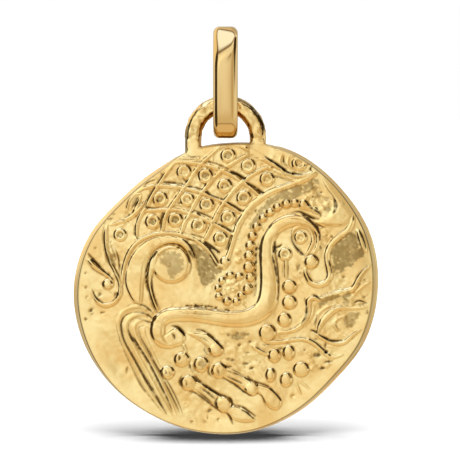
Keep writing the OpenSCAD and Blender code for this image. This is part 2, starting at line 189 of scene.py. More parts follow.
# Hindquarter, back, neck and head in one line
BODY = [
    (-4.3, -4.65, .4), (-5, -4.4, .75), (-5.4, -3.8, 1.05), (-5.45, -3.1, 1.1), (-5.1, -2.5, 1.1),
    (-4.4, -2.15, 1.1), (-3.4, -2.1, 1.05), (-2.2, -2.15, 1.08), (-1, -2.3, 1.15), (.2, -2.45, 1.2),
    (1.3, -2.45, 1.25), (2.2, -2.2, 1.35), (2.95, -1.7, 1.45), (3.35, -1, 1.5), (3.5, -.1, 1.5),
    (3.45, .8, 1.4), (3.35, 1.7, 1.25), (3.25, 2.6, 1.1), (3.3, 3.5, 1.05), (3.55, 4.2, 1),
    (4.05, 4.85, 1), (4.8, 5.3, 1), (5.6, 5.4, .95), (6.3, 5.25, .8), (6.9, 4.9, .6), (7.3, 4.4, .5),
    (7.4, 3.8, .4), (7.25, 3.2, .35), (6.95, 2.75, .3),
]

# Domed pellets: right, up, half width, half height
PELLETS = [
    (6.85, 2.1, .58, .58), (-.05, 2.1, .42, .44), (-9.4, .3, .46, .46), (5.1, .1, .6, .58),
    (5.1, -1.15, .6, .6), (4.7, -2.55, .56, .6), (3.35, -3.6, .7, .72), (-.75, -4.95, .6, .6),
    (-3.5, -5.75, .64, .62), (-4.65, -6.8, .58, .58), (-1.95, -6.15, .62, .68), (-.5, -6.65, .66, .66),
    (-2.95, -7.65, .66, .66), (-.15, -9.4, .66, .66), (2.1, -8.1, .6, .58), (3.9, -5.45, .52, .6),
    (5.05, -5.2, .5, .65), (3.6, -7, .42, .62), (4.85, -7.4, .52, .62), (6.05, -6.55, .66, .64),
]
# Small round pellets of the mane and the rosette: right, up, radius, how much they stand up
BEADS = [
    (1.79, -.08, .42, 1), (1.99, .85, .4, 1), (1.88, 1.66, .48, 1), (1.91, 2.58, .44, 1),
    (1.96, 3.39, .4, 1), (2.14, 4.14, .38, 1), (2.48, 4.89, .36, 1), (2.98, 5.6, .36, 1),
    (3.54, 6.05, .36, 1), (4.12, 6.44, .36, 1), (4.85, 6.72, .4, 1), (5.5, 6.78, .36, .9),
    (6.2, 6.68, .42, .8), (.98, 2.87, .27, .4), (1.04, 2.18, .3, .4), (.35, 1.02, .34, .8),
    (1.07, .91, .36, .9), (-.29, .62, .3, .8), (-.61, 0, .3, .8), (-.54, -.65, .32, .8),
    (.12, -1.06, .36, .9), (.87, -1.06, .34, .8), (1.27, -.6, .34, .8), (.35, .33, .16, .6),
    (.64, .44, .16, .6), (.92, .21, .16, .6), (.98, -.08, .15, .5), (.64, -.25, .16, .6),
    (.29, -.08, .15, .5),
]
# Flat boss of the haunch: right, up, radius, with the raised line round part of it
HAUNCH_BOSS = (-4.33, 1.9, 1.55)
BOSS_RIM = [
    (-5.68, 1.5, .2), (-5.64, 2.2, .42), (-5.36, 2.77, .48), (-4.9, 3.12, .46), (-4.33, 3.25, .4),
    (-3.76, 3.12, .28), (-3.35, 2.8, .12),
]
# Small rings, in the net and round about, and the horse's eye: right, up, radius, tarnish in the dish
RINGS = [
    (.2, 10.55, .69, .6), (1.8, 9.75, .69, .6), (3.3, 8.7, .67, .3), (-3.3, 9.25, .69, 0),
    (-1.6, 8.95, .69, .9), (-.05, 8.15, .67, .3), (1.45, 7.2, .69, .6), (-5.2, 7.1, .69, .8),
    (-3.05, 7.05, .66, .2), (-1.5, 6.65, .67, .8), (.2, 5.6, .69, .6), (-5.8, 5.3, .69, 1),
    (-4, 5.45, .69, 1), (-2.15, 5, .67, .7), (-.4, 3.95, .67, .7), (-8.4, 4.25, .6, .6),
    (5.85, 9.95, .7, .1), (4.75, 2.7, .6, .5), (5.97, 4.03, .58, .1),
]

# Cut lines, deeper than the field and painted dark as shade: rows of right, up, width
CUTS = {
    "over_crown": [(3.15, 10.45, .16), (3.8, 10.05, .26), (4.5, 9.55, .3), (5, 9.2, .28), (5.5, 9.1, .24),
                   (6.1, 9.05, .16)],
    "corner_1": [(4.68, 10.6, .08), (4.62, 10.15, .2), (4.85, 9.7, .1)],
    "corner_2": [(3.6, 10.7, .05), (3.9, 10.5, .08), (4.15, 10.4, .05)],
    "crown_end": [(6.9, 9.75, .12), (6.75, 9.5, .22), (6.85, 9.3, .12)],
    "crown_under": [(2.9, 9.3, .08), (3.7, 8.95, .14), (4.4, 8.8, .14), (5.2, 8.45, .08)],
    "tie_1_left": [(-1.3, 10.05, .22), (-.6, 9.85, .16), (.2, 9.5, .16)],
    "tie_1_mid": [(.45, 9.31, .2), (.95, 9.05, .3), (1.5, 8.7, .3)],
    "tie_1_right": [(1.84, 8.32, .2), (2.35, 8, .26), (2.94, 7.58, .26)],
    "tie_2_left": [(-4.85, 8.44, .18), (-4.2, 8.38, .24), (-3.4, 8.3, .18)],
    "tie_2_mid": [(-2.85, 8.08, .2), (-2.3, 7.98, .18), (-1.85, 7.85, .16)],
    "tie_2_right": [(-1.45, 7.65, .24), (-1.05, 7.34, .22), (-.15, 7.05, .18)],
    "tie_2_end": [(.25, 6.79, .18), (.75, 6.48, .24), (1.31, 6.13, .2)],
    "tie_3_left": [(-6.35, 6.48, .22), (-5.85, 6.36, .18), (-5.3, 6.4, .12)],
    "tie_3_mid": [(-2.5, 6.19, .18), (-1.8, 5.9, .2), (-1.14, 5.6, .16)],
    "tie_3_right": [(-.48, 5.06, .18), (0, 4.8, .22), (.52, 4.5, .2)],
    "foot_line": [(-2.67, 4.27, .14), (-2.2, 4.13, .18), (-1.8, 4, .14)],
    "foot_end": [(-1.65, 3.7, .2), (-1.1, 3.28, .28), (-.48, 2.81, .24)],
    "rib_2_left": [(-4.98, 6, .16), (-5.12, 5.4, .22), (-5.15, 4.75, .16)],
    "rib_1_left": [(-7.25, 4.9, .14), (-7.22, 4.3, .18), (-7, 3.9, .16)],
    "spine_left": [(.12, 3.07, .16), (.3, 3.7, .2), (.45, 4.2, .16)],
    "spine_upper": [(.71, 5.06, .14), (1, 5.5, .16), (1.24, 5.79, .14)],
    "crescent_edge": [(-9.66, 5.09, .08), (-9.74, 4.17, .14), (-9.6, 3.01, .18), (-9.3, 1.97, .18),
                      (-8.72, 1.05, .1)],
    "crescent_inner": [(-8.75, 1.3, .1), (-8.55, .5, .14), (-8.45, -.4, .1)],
    "leaf_left": [(-9.46, 3.6, .08), (-9.4, 2.78, .12), (-9.16, 2.09, .14), (-8.82, 1.6, .08)],
    "leaf_right": [(-8.9, 3.4, .08), (-8.6, 2.6, .18), (-8.46, 1.8, .18), (-8.42, 1.16, .1)],
    "leaf_middle": [(-9.24, 3.6, .08), (-8.96, 3.01, .12), (-8.76, 2.32, .12), (-8.82, 1.68, .08)],
    "spear_edge": [(-10.95, 2.75, .14), (-10.45, 2.15, .26), (-9.8, 1.45, .22), (-9.35, 1.05, .14)],
    "spear_low": [(-11.2, 2.2, .08), (-10.5, 1.45, .12), (-9.7, .95, .1)],
    "hook_in": [(-10.6, -.2, .1), (-10.35, -.8, .22), (-9.72, -1.25, .12)],
    "leaf_up_1": [(-7.95, 5.95, .08), (-7.85, 6.7, .14), (-7.45, 7.35, .14), (-6.95, 7.62, .08)],
    "leaf_up_2": [(-7.5, 6.25, .08), (-7.15, 6.75, .18), (-6.95, 7.25, .1)],
    "leaf_up_3": [(-6.55, 8.05, .08), (-6.2, 8.4, .16), (-5.6, 8.62, .12)],
    "leaf_up_4": [(-5.2, 9.35, .08), (-5.05, 8.95, .14), (-5.25, 8.6, .08)],
    "rib_1_edge": [(-6.7, 6.2, .08), (-6.25, 7.05, .14), (-5.6, 8.1, .14), (-4.9, 9.2, .1)],
    "comma_left": [(-5.45, -2, .12), (-5.7, -1.55, .2), (-5.96, -.8, .22), (-6.2, 0, .24),
                   (-6.33, .7, .26), (-6.3, 1.4, .26), (-6.05, 2.2, .2), (-5.6, 2.95, .12)],
    "boss_line": [(-5.6, 3, .08), (-5, 3.4, .12), (-4.3, 3.52, .16), (-3.72, 3.42, .22),
                  (-3.25, 3.05, .18), (-2.92, 2.55, .14), (-2.74, 1.95, .14), (-2.74, 1.4, .12),
                  (-2.95, .85, .08)],
    "comma_right": [(-5.8, 1.1, .1), (-5.88, .5, .18), (-5.78, -.3, .18), (-5.55, -1.05, .16),
                    (-5.2, -1.75, .1)],
    "haunch_right": [(-2.2, 3.55, .08), (-2.45, 3.75, .16), (-3, 3.9, .14), (-3.4, 4.05, .08)],
    "root_left": [(-3.2, 10.66, .08), (-2.7, 10.44, .16), (-2.2, 10.48, .14), (-1.65, 10.46, .08)],
    "root_left_low": [(-3.35, 10.3, .06), (-2.4, 10.22, .1), (-1.5, 10.08, .06)],
    "over_head": [(5.2, 5.98, .08), (5.85, 6.07, .2), (6.43, 5.8, .3), (7.07, 5.53, .26), (7.5, 5.5, .1)],
    "behind_head": [(6.8, 5.38, .1), (7.47, 4.99, .18), (8, 4.74, .1)],
    "jaw": [(3.95, 3.65, .2), (3.92, 3.2, .34), (4, 2.75, .2)],
    "jaw_branch": [(3.95, 3.2, .2), (4.3, 3.3, .24), (4.5, 3.45, .14)],
    "cheek_edge": [(7.48, 4.5, .14), (7.52, 4.15, .2), (7.5, 3.8, .14)],
    "mane_tip_edge": [(6.35, 6.95, .12), (6.62, 6.7, .24), (6.9, 6.32, .24), (7.27, 6.12, .26),
                      (7.54, 5.9, .2), (7.62, 5.65, .1)],
    "muzzle_line": [(5.25, 4.5, .12), (5.27, 3.9, .18), (5.56, 3.3, .26), (6, 2.82, .3),
                    (6.32, 2.56, .18)],
    "neck_left": [(2.62, 3.6, .12), (2.5, 2.6, .14), (2.46, 1.5, .14), (2.46, .5, .16), (2.42, -.4, .14),
                  (2.25, -.75, .08)],
    "neck_right": [(3.9, 3.4, .14), (4.06, 2.4, .18), (4.2, 1.2, .2), (4.25, 0, .2), (4.15, -1, .16)],
    "curl": [(-4.35, -3.06, .1), (-3.85, -3.16, .28), (-3.45, -3.5, .3), (-3.2, -3.8, .14)],
    "swirl_edge": [(7.65, 8.8, .06), (8, 8, .1), (8.45, 7.45, .14), (8.7, 7.05, .14)],
    "swirl_inner": [(8.6, 7.2, .12), (8.77, 6.67, .36), (8.72, 6.2, .3), (8.55, 5.92, .12)],
    "branch": [(6.33, -.85, .14), (6.48, -1.65, .24), (6.38, -2.35, .3), (6.05, -2.85, .16)],
    "knee": [(7, -.58, .16), (7.3, -.7, .26), (7.58, -.92, .16)],
    "limb_line": [(10.2, .2, .1), (10.42, .75, .18), (10.85, 1.35, .14), (11.5, 1.9, .08)],
    "lens": [(10.12, -1.27, .08), (10.7, -1.06, .24), (11.3, -1.25, .12)],
    "lens_low": [(10.3, -1.4, .08), (10.95, -1.32, .14), (11.25, -1.25, .08)],
    "leaf_low_1": [(6.85, -3.4, .16), (7.1, -3.5, .26), (7.35, -3.65, .16)],
    "leaf_low_2": [(7.5, -3.8, .16), (8, -4.05, .26), (8.5, -4.27, .26), (9.3, -4.25, .16)],
    "leaf_line": [(10.42, 4.5, .1), (10.6, 3.9, .16), (10.85, 3.2, .14), (11.1, 2.75, .08)],
    "leaf_low_3": [(7.3, -2.2, .12), (7.2, -2.7, .18), (7.05, -3.1, .12)],
    "thigh_top": [(-2.3, -3.35, .12), (-1.8, -3.45, .2), (-1.2, -3.85, .24), (-.7, -4.3, .24),
                  (-.15, -4.9, .14)],
    "hind_top": [(-2.45, -7.1, .14), (-2.1, -7.5, .22), (-1.5, -7.95, .24), (-.9, -8.35, .24),
                 (-.4, -8.62, .2), (.4, -8.95, .22), (.6, -9.4, .2), (1.4, -9.65, .22), (1.9, -10, .2),
                 (2.4, -10.35, .14)],
    "hind_low": [(-2.9, -8.35, .12), (-2.4, -8.5, .18), (-1.5, -9.15, .2), (-1, -9.55, .2),
                 (-.35, -10.05, .12)],
    "hind_flute_1": [(-2.25, -8.35, .12), (-1.6, -8.85, .22), (-1.1, -9.3, .14)],
    "hind_flute_2": [(-2, -8.05, .12), (-1.35, -8.5, .22), (-.85, -8.95, .14)],
    "hind_cuff": [(-3.5, -7.1, .1), (-3.68, -7.57, .2), (-3.45, -8.15, .1)],
    "hind_knee_mark": [(-3.25, -7.4, .08), (-3.1, -7.75, .16), (-3.2, -8, .08)],
    "ankle_left": [(-.57, -8.77, .12), (-.83, -9.31, .24), (-.64, -9.84, .12)],
    "ankle_right": [(.25, -8.84, .12), (.54, -9.31, .2), (.43, -9.71, .1)],
    "fore_cuff": [(-1.27, -6.31, .1), (-1.37, -6.77, .2), (-1.11, -7.24, .1)],
    "fore_knee_mark": [(-.7, -6.4, .08), (-.55, -6.75, .18), (-.5, -7.1, .08)],
    "bead_cuff_line": [(-2.81, -5.84, .1), (-2.88, -6.31, .18), (-2.6, -6.8, .1)],
    "bead_mark": [(-2.08, -5.85, .08), (-2.13, -6.15, .14), (-1.98, -6.42, .08)],
    "thigh_cuff_1": [(-1.62, -4.7, .1), (-1.66, -5.1, .18), (-1.37, -5.46, .1)],
    "thigh_cuff_2": [(-1.33, -4.64, .08), (-1.38, -5.04, .14), (-1.1, -5.38, .08)],
    "thigh_flute": [(-2.2, -3.95, .08), (-1.7, -4.1, .14), (-1.2, -4.5, .08)],
    "twin_mark": [(-3.74, -5.38, .1), (-3.66, -5.62, .26), (-3.7, -5.88, .1)],
    "small_mark_1": [(-4.85, -6.58, .08), (-4.75, -6.85, .18), (-4.85, -7.05, .08)],
    "small_mark_2": [(-4.5, -6.7, .08), (-4.38, -6.95, .14), (-4.45, -7.1, .08)],
    "curl_mark": [(-4.35, -3.6, .08), (-4.1, -3.85, .22), (-4.02, -4.2, .08)],
    "nose_line": [(6.55, 2.65, .08), (7.1, 2.6, .16), (7.42, 2.2, .18), (7.35, 1.8, .08)],
    "stem_left": [(4.62, 2.2, .08), (4.6, 1.5, .12), (4.62, .8, .08)],
    "stem_right": [(4.98, 2.2, .08), (5, 1.5, .12), (4.98, .75, .08)],
    "neck_inner": [(2.95, 4, .06), (2.85, 3, .1), (2.85, 1.8, .1), (2.85, .5, .1), (2.75, -.6, .06)],
    "back_line": [(-3.9, -1.6, .06), (-3.1, -1.52, .1), (-2.2, -1.56, .1), (-1, -1.68, .1),
                  (.2, -1.88, .08)],
    "back_inner": [(-3.8, -1.98, .06), (-3, -2.02, .12), (-2, -2.08, .12), (-.4, -2.13, .06)],
    "hind_foot": [(.1, -10.1, .14), (.35, -10.4, .22), (.6, -11, .12)],
    "fore_top": [(-.4, -5.95, .12), (-.05, -6.3, .22), (.45, -6.35, .14)],
    "fore_flute_1": [(.2, -6.7, .12), (.8, -6.9, .2), (1.4, -7.2, .14)],
    "fore_flute_2": [(.15, -7.15, .12), (.7, -7.4, .2), (1.3, -7.7, .14)],
    "fore_low": [(-.2, -7.25, .12), (.5, -7.65, .2), (1, -8, .22), (1.5, -8.4, .22), (2.1, -8.72, .14)],
    "hoof_top": [(1.8, -7.15, .14), (2.1, -7.45, .2), (2.7, -7.68, .18), (3.4, -7.95, .2),
                 (3.9, -8.38, .18), (4.45, -9, .12)],
    "hoof_fan": [(2.45, -8.45, .08), (2.9, -8.7, .12), (3.1, -9.2, .12), (3.3, -9.75, .08)],
    "tail_edge": [(-8.73, -2.31, .06), (-8.68, -3.24, .1), (-8.39, -4.39, .12), (-7.81, -5.78, .12),
                  (-7.35, -6.7, .12), (-6.77, -7.86, .16), (-6.08, -8.78, .12), (-5.2, -9.9, .08)],
    "tail_top": [(-8.73, -2.31, .06), (-8.15, -1.68, .1), (-7.23, -1.27, .12), (-6.42, -1.54, .14),
                 (-5.75, -2.1, .1)],
    "tail_1": [(-5.84, -2.54, .1), (-6.42, -2.12, .16), (-7.23, -1.98, .12), (-7.98, -2.25, .16),
               (-8.33, -2.8, .22), (-8.3, -3.52, .22), (-8.04, -4.39, .2), (-7.46, -5.43, .2),
               (-6.77, -6.7, .2), (-6.08, -7.86, .2), (-5.38, -9.01, .18), (-4.69, -10.2, .1)],
    "tail_2_top": [(-5.96, -3.1, .08), (-6.4, -2.68, .14), (-7.12, -2.46, .1), (-7.69, -2.77, .1),
                   (-7.75, -3.4, .1)],
    "tail_2": [(-7.78, -3.3, .12), (-7.6, -3.85, .22), (-7.1, -4.6, .26), (-6.42, -5.55, .26),
               (-5.84, -6.59, .24), (-5.27, -7.74, .24), (-4.69, -8.9, .2), (-4.22, -10, .1)],
    "tail_3": [(-6.5, -3.1, .08), (-6.9, -3.2, .12), (-6.8, -3.93, .14), (-6.31, -4.85, .18),
               (-5.73, -6, .18), (-5.27, -6.82, .18), (-4.92, -7.51, .16), (-4.46, -8.44, .18),
               (-4, -9.36, .16), (-3.62, -10.1, .08)],
    "tail_4": [(-6.15, -4.9, .08), (-5.73, -5.89, .14), (-5.27, -6.7, .14), (-4.85, -7.3, .14),
               (-4.5, -7.8, .16), (-4.08, -8.6, .16), (-3.74, -9.36, .14), (-3.42, -10.1, .08)],
    "tail_root_1": [(-7.3, -1.2, .08), (-6.54, -1.42, .16), (-6.08, -1.76, .22), (-5.73, -2.1, .1)],
    "tail_root_2": [(-6.77, -1.88, .08), (-6.19, -2.2, .2), (-5.8, -2.56, .12)],
    "tail_root_3": [(-6.5, -2.6, .08), (-6.1, -2.75, .16), (-5.75, -2.95, .1)],
}

# Small dents of the casting: right, up, radius
DENTS = [
    (-11.4, .1, .12), (-11.1, 0, .1), (-11.05, -.75, .14), (-10.75, -1.85, .2), (-9.9, -2.05, .14),
    (-11.15, -2.55, .12), (-10.35, 2.3, .12), (-11.15, 1.2, .12), (8.1, 4.15, .16), (-2.7, -10.8, .14),
    (-1.3, -9.85, .14), (-.5, -10.6, .12), (-3.2, -9.4, .12), (1.2, -4.6, .14), (1.7, -5.2, .14),
    (.3, -3.8, .18), (.9, -3.75, .2), (1.6, -3.85, .18), (.8, -5.85, .14), (1.5, -6.05, .14),
    (2.1, -6.45, .16), (1.6, -6.4, .12), (2.8, -6, .16), (5.4, -8.7, .24), (7.4, -5.4, .24),
    (8.3, -5.9, .14), (8.1, -5.2, .14), (7.2, -4.1, .14), (8, -4.6, .12), (9.4, .95, .16), (9.4, .6, .12),
    (11.2, .6, .12), (9.7, 1.4, .12), (11.4, -.6, .12), (11.3, -2.05, .14), (10.7, -2.2, .12),
    (-2.34, 9.64, .12), (-5.95, 7.75, .14), (-3, 5.83, .14), (-.41, 6.72, .14), (-2.14, 7.35, .12),
    (-.31, 9.14, .12), (-3.73, 7.72, .12),
]

# Brown specks with ragged edges, some strung along the back and the neck's left edge as painted shade:
# right, up, half width, half height, strength
SPECKS = [
    (1.16, -4.64, .22, .12, .6), (.63, -5.84, .26, .1, .7), (1.56, -6.1, .28, .1, .6),
    (2.1, -6.5, .22, .13, .8), (1.83, -5.24, .14, .07, .6), (1.96, -4.37, .12, .1, .6),
    (.2, -5.75, .2, .07, .5), (2.4, -5.9, .14, .1, .5), (-10.76, -1.85, .13, .3, .7),
    (-9.89, -2.02, .2, .1, .5), (-11.16, -2.54, .1, .12, .6), (-7.87, -6.59, .1, .26, .5),
    (-10.35, 3.19, .1, .1, .4), (-11.16, 1.16, .1, .1, .6), (-11.22, .01, .16, .14, .6),
    (-11.04, -.68, .12, .22, .5), (-1.24, -9.91, .28, .12, .6), (-.57, -10.64, .16, .1, .5),
    (-2.64, -10.8, .16, .1, .5), (-4.8, -9.95, .1, .1, .3), (8.05, -5.2, .13, .12, 1),
    (8.35, -5.95, .4, .1, .8), (7.4, -5.35, .36, .26, .7), (7.75, -6.47, .26, .12, .8),
    (8, -4.6, .07, .24, .7), (7.25, -4.15, .12, .08, .5), (10.2, .93, .16, .1, .6),
    (11.1, .64, .14, .12, .6), (11.07, -.75, .12, .09, .5), (11.36, -2.02, .08, .2, .6),
    (9.45, .87, .12, .12, .5), (9.45, .5, .1, .1, .4), (5.8, 1.6, .14, .5, .5), (5.95, 1.15, .12, .2, .4),
    (8.11, 4.18, .16, .14, .5), (7.6, 3.2, .1, .3, .5), (-10.06, -.57, .22, .2, .6),
    (-8.79, -.57, .18, .26, .6), (4.45, -4.9, .2, .1, .5), (3.2, -4.6, .3, .08, .5),
    (-3.05, -1.42, .16, .08, 1), (-2.7, -1.43, .12, .07, .9), (-2.3, -1.47, .2, .09, 1),
    (-1.9, -1.45, .14, .08, .9), (-1.5, -1.51, .2, .1, 1), (-1.1, -1.54, .16, .08, 1),
    (-.7, -1.59, .2, .1, 1), (-.35, -1.65, .16, .09, 1), (0, -1.74, .18, .08, 1),
    (.28, -1.85, .1, .06, .8), (2.47, 3.1, .08, .2, 1), (2.42, 2.6, .08, .16, .9), (2.42, 2, .09, .22, 1),
    (2.4, 1.35, .08, .18, 1), (2.42, .75, .09, .2, 1), (2.4, .15, .08, .2, .9),
    (2.38, -.35, .08, .14, .9), (7.4, 7.3, .5, .4, .35), (8, 7, .3, .5, .3), (8.2, 6.3, .2, .3, .4),
    (7.2, 7.9, .4, .3, .3), (-6.9, 9, .2, .12, .4), (-9.2, 5.5, .3, .16, .4), (-8.9, 5.9, .2, .1, .4),
    (3.9, 3.1, .2, .26, .8),
]

# Rough places the wheel has missed: right, up, half width, half height, strength
ROUGH = [
    (-2.2, 8.6, 5, 2.6, .7), (-2.5, 5.6, 5, 2.2, .5), (4.8, 10, 2.2, 1, 1), (.4, 0, 1.3, 1.3, 1),
    (7.4, 7.4, 1.4, 1.2, 1), (1.6, -5.2, 1.9, 1.5, .6), (-8.4, 6.2, 1.2, 1.4, .8),
    (-9, 2.5, 1.2, 1.8, .5), (-5.7, -2.2, .9, .8, 1), (5.9, 1.5, .6, 1, .8), (7.8, 4, .8, 1, .6),
    (7.6, -5.4, 1.2, 1, .8), (9.8, -.4, 1.6, 1.2, .6), (-2.5, -1.5, 2, .3, .8), (9.3, -2.2, 2, 1.6, .5),
    (-1.4, -7.8, 2.6, 2.6, .3), (4.6, -4, 1.6, 1, .4),
]

# Tarnished places: strength, then the corners as right, up
STAINS = [
    (.8, [(.1, -3.7), (.9, -3.56), (1.95, -3.6), (2.1, -3.85), (1.3, -4.1), (.35, -4)]),
    (.7, [(-7.62, 6.35), (-7.52, 6.95), (-7.12, 7.3), (-6.95, 7.15), (-7.05, 6.7), (-7.35, 6.3)]),
    (.8, [(-9.2, 2.7), (-8.95, 2.7), (-8.78, 2.2), (-8.8, 1.65), (-9.02, 1.85)]),
    (.7, [(-2.08, -5.95), (-1.84, -5.84), (-1.6, -5.98), (-1.6, -6.25), (-1.84, -6.38), (-2.05, -6.25)]),
    (.6, [(9.75, -.35), (10, -.9), (9.75, -1.5), (9.45, -1.2), (9.5, -.55)]),
    (.5, [(10.3, .3), (10.9, 1), (10.7, .3), (10.4, -.1)]),
    (.4, [(-10.6, 2.5), (-10.1, 1.9), (-10.25, 1.75), (-10.75, 2.25)]),
    (1, [(-2.95, 3.51), (-2.37, 3.45), (-1.73, 3.16), (-1.16, 2.29), (-.17, 1.51), (-.87, .68),
         (-1.33, .04), (-1.91, .1), (-2.2, .91), (-2.43, 1.95), (-2.77, 2.76)]),
    (.7, [(-5.38, 2.67), (-4.92, 2.9), (-4, 2.84), (-3.42, 2.44), (-3.24, 1.63), (-3.59, 1.16), (-4, .79),
          (-4.4, 1.16), (-4.69, 1.74), (-5.15, 1.97)]),
    (.85, [(7.47, 8.69), (6.89, 8.57), (5.97, 8.23), (5.04, 7.94), (4.12, 7.59), (3.43, 7.07),
           (2.85, 6.44), (2.27, 5.63), (1.75, 4.7), (2.1, 4.8), (2.6, 5.5), (3.2, 6.2), (3.77, 6.65),
           (4.58, 7), (5.39, 7.1), (6.08, 7.25), (6.89, 7.94), (7.47, 8.28)]),
    (.97, [(8.64, 3.4), (9.3, 4.1), (9.9, 4.45), (10.35, 4.5), (10.6, 3.6), (10.96, 2.8), (10.7, 2.35),
           (10.03, 1.7), (9.4, 1.4), (8.76, 1), (8.53, 1.9), (8.5, 2.6)]),
    (.7, [(9.34, -2.48), (10.03, -2.02), (10.78, -1.96), (10.61, -2.6), (10.03, -3.17), (9.45, -2.94)]),
    (.9, [(7.55, -.98), (8.18, -.72), (9.11, -.56), (9.86, -.42), (9.95, -.7), (9.86, -1.21),
          (9.45, -1.21), (9.35, -.85), (8.64, -.95), (8.07, -1.17), (7.49, -1.67), (7.37, -1.32)]),
    (.7, [(10.44, .36), (10.72, .42), (10.7, .16), (10.48, .14)]),
]

# The eye is a round cast wire, arched over the disc's top edge: centre, radius, wire, flat front and legs
EYE_UP = 12.18
EYE_R = 2.58
EYE_WIRE_R = .68
EYE_FLAT = .6
EYE_LEG = 1.5
EYE_SIDES = 44
EYE_STEPS = 76
# Height at which the wire has left the disc
EYE_FROM = 11.8
# The eye's two roots in the disc: their limits sideways and up, how far back they go, passes of smoothing
ROOT_RIGHT = (1.6, 4.4)
ROOT_UP = (10.5, 12.2)
ROOT_BACK = .6
ROOT_PASSES = 16
# In front of this depth a root is drawn flush with the eye's flat front
ROOT_FRONT = -.35
# The disc's edge between the roots, painted darker as shade under the eye: half its width, and how low and
# high it lies
BRINK_HALF_W = 2.3
BRINK_UP = (11.2, 12.5)
# A painted dark reflection runs along the eye, this far outside the middle of its wire
EYE_LINE_OUT = .55
# Where a root is rounded, and where it is drawn flush: right, up, half width, half height
ROOT_ROUNDED = (3, 11.35, 1.35, .85)
ROOT_FLUSH = (2.7, 11.2, 1.1, .9)

# The bail is a strip folded to a flattened loop: width, height, top, depth, thickness and corners
BAIL_W = 1.94
BAIL_H = 8.6
BAIL_TOP = 20.8
BAIL_D = 5
BAIL_WALL = .9
BAIL_OUTER_R = .52
BAIL_INNER_R = .22
BAIL_SIDES = 40
BAIL_STEPS = 8
BEND_R = BAIL_D / 2
BEND_STEPS = 32
# The loop narrows towards its ends, its outside is softly domed, and its upper bend is skewed
BAIL_BOW = .12
BAIL_DOME = .07
BAIL_SKEW = .6
# Power of the lower bend's curve, which is squarer than the half circle that 2 would give
BAIL_SQUARE = 3.2

# Where the painted dark reflection inside the rolled edge lies, as a share of the edge's width
EDGE_LINE = .92
# How the lines stand up: rows, height, width of a wall, how much wider than charted, rise of the crown
FORMS = [
    (NET.values(), .12, .2, 1.45, 0),
    (BORDERS.values(), .14, .24, 1.4, 0),
    (STRANDS.values(), .14, .2, 1.35, 0),
    (TAIL.values(), .06, .26, 1.2, 0),
    (BROAD.values(), .11, .22, 1.1, .04),
    ([SWIRL], .11, .4, 1.1, 0),
    ([BOSS_RIM], .22, .22, 1.1, 0),
    (LIMBS.values(), .11, .16, 1.1, .03),
    ([BODY], .12, .3, 1.1, .12),
]
# Height, width of the wall and rise of the dome of the large pellets, the small ones and the boss
PELLET = (.14, .17, .06)
BEAD = (.15, .17, .06)
BOSS = (.14, .2, 0)
# Small rings: height, and where the wall and the dish end as shares of the radius, with the dish's depth
RING_H = .14
RING_EDGE = .92
RING_DISH = .5
RING_DISH_SHARE = .6
# Depth of the cut lines, width of their walls, and how much wider than charted they are
CUT_DEPTH = .08
CUT_WALL = .1
CUT_SPREAD = 1.05
# Depth of a dent as a share of its radius
DENT_SHARE = .3
# The flat field isn't quite even: height and size of its swells
SWELLS = [(.05, 3), (.03, 1.2), (.012, .5)]
# Width over which a stain fades out
STAIN_EDGE = .08
# Height of the casting's fine skin where it was polished, and what rough places add to it
SKIN_POLISHED = .004
SKIN_ROUGH = .018
# How far inside the rolled edge the relief, and the swells, reach their full height
RELIEF_FADE = .5
SWELL_FADE = 1.6
# The relief sits a little higher than charted, as it stands in front of the outline and is seen from above
RELIEF_UP = .17

# The relief is worked out on a square raster of points over the disc
PITCH = .05
SPAN = 13
AXIS = np.arange(-SPAN, SPAN + PITCH, PITCH)
RIGHT, UP = np.meshgrid(AXIS, AXIS)
RANDOM = np.random.default_rng(11)


def curve(rows, steps=6):
    """Points on a smooth curve through the rows, every column alike."""
    p = np.array(rows, float)
    points = []
    for i in range(len(p) - 1):
        a, b, c, d = p[max(i - 1, 0)], p[i], p[i + 1], p[min(i + 2, len(p) - 1)]
        for t in np.arange(steps) / steps:
            turn = 2 * a - 5 * b + 4 * c - d
            points.append((2 * b + (c - a) * t + turn * t**2 + (3 * b - a - 3 * c + d) * t**3) / 2)
    return np.array(points + [p[-1]])


def blurred(field, size):
    """The raster smoothed over a size in millimetres."""
    down = np.fft.fftfreq(field.shape[0])[:, None]
    across = np.fft.rfftfreq(field.shape[1])[None, :]
    soft = np.exp(-2 * (math.pi * size / PITCH) ** 2 * (down**2 + across**2))
    return np.fft.irfft2(np.fft.rfft2(field) * soft, s=field.shape)


def unevenness(size):
    """Smooth random waves about one unit high, with lumps of a size in millimetres."""
    waves = blurred(RANDOM.standard_normal(RIGHT.shape), size)
    return waves / waves.std()


def ramp(value, none, full):
    """0 up to one limit of a value, climbing evenly to 1 at the other, whichever of them is larger."""
    return np.clip((value - none) / (full - none), 0, 1)


def step(depth, wall):
    """Climbs from 0 to 1 over a wall's width, soft at its foot and at its shoulder."""
    t = ramp(depth, 0, wall)
    return t * t * (3 - 2 * t)


def depth_in_line(rows, spread):
    """How deep each raster point lies inside a line of varying width, in millimetres, and 0 outside it."""
    line = curve(rows)
    line[:, 2] *= spread / 2
    reach = line[:, 2].max()
    near = ((RIGHT > line[:, 0].min() - reach) & (RIGHT < line[:, 0].max() + reach)
            & (UP > line[:, 1].min() - reach) & (UP < line[:, 1].max() + reach))
    x, y = RIGHT[near], UP[near]
    depth = np.zeros_like(x)
    for (x0, y0, w0), (x1, y1, w1) in zip(line, line[1:]):
        dx, dy = x1 - x0, y1 - y0
        t = np.clip(((x - x0) * dx + (y - y0) * dy) / (dx * dx + dy * dy + 1e-9), 0, 1)
        depth = np.maximum(depth, w0 + t * (w1 - w0) - np.hypot(x - x0 - t * dx, y - y0 - t * dy))
    whole = np.zeros_like(RIGHT)
    whole[near] = depth
    return whole


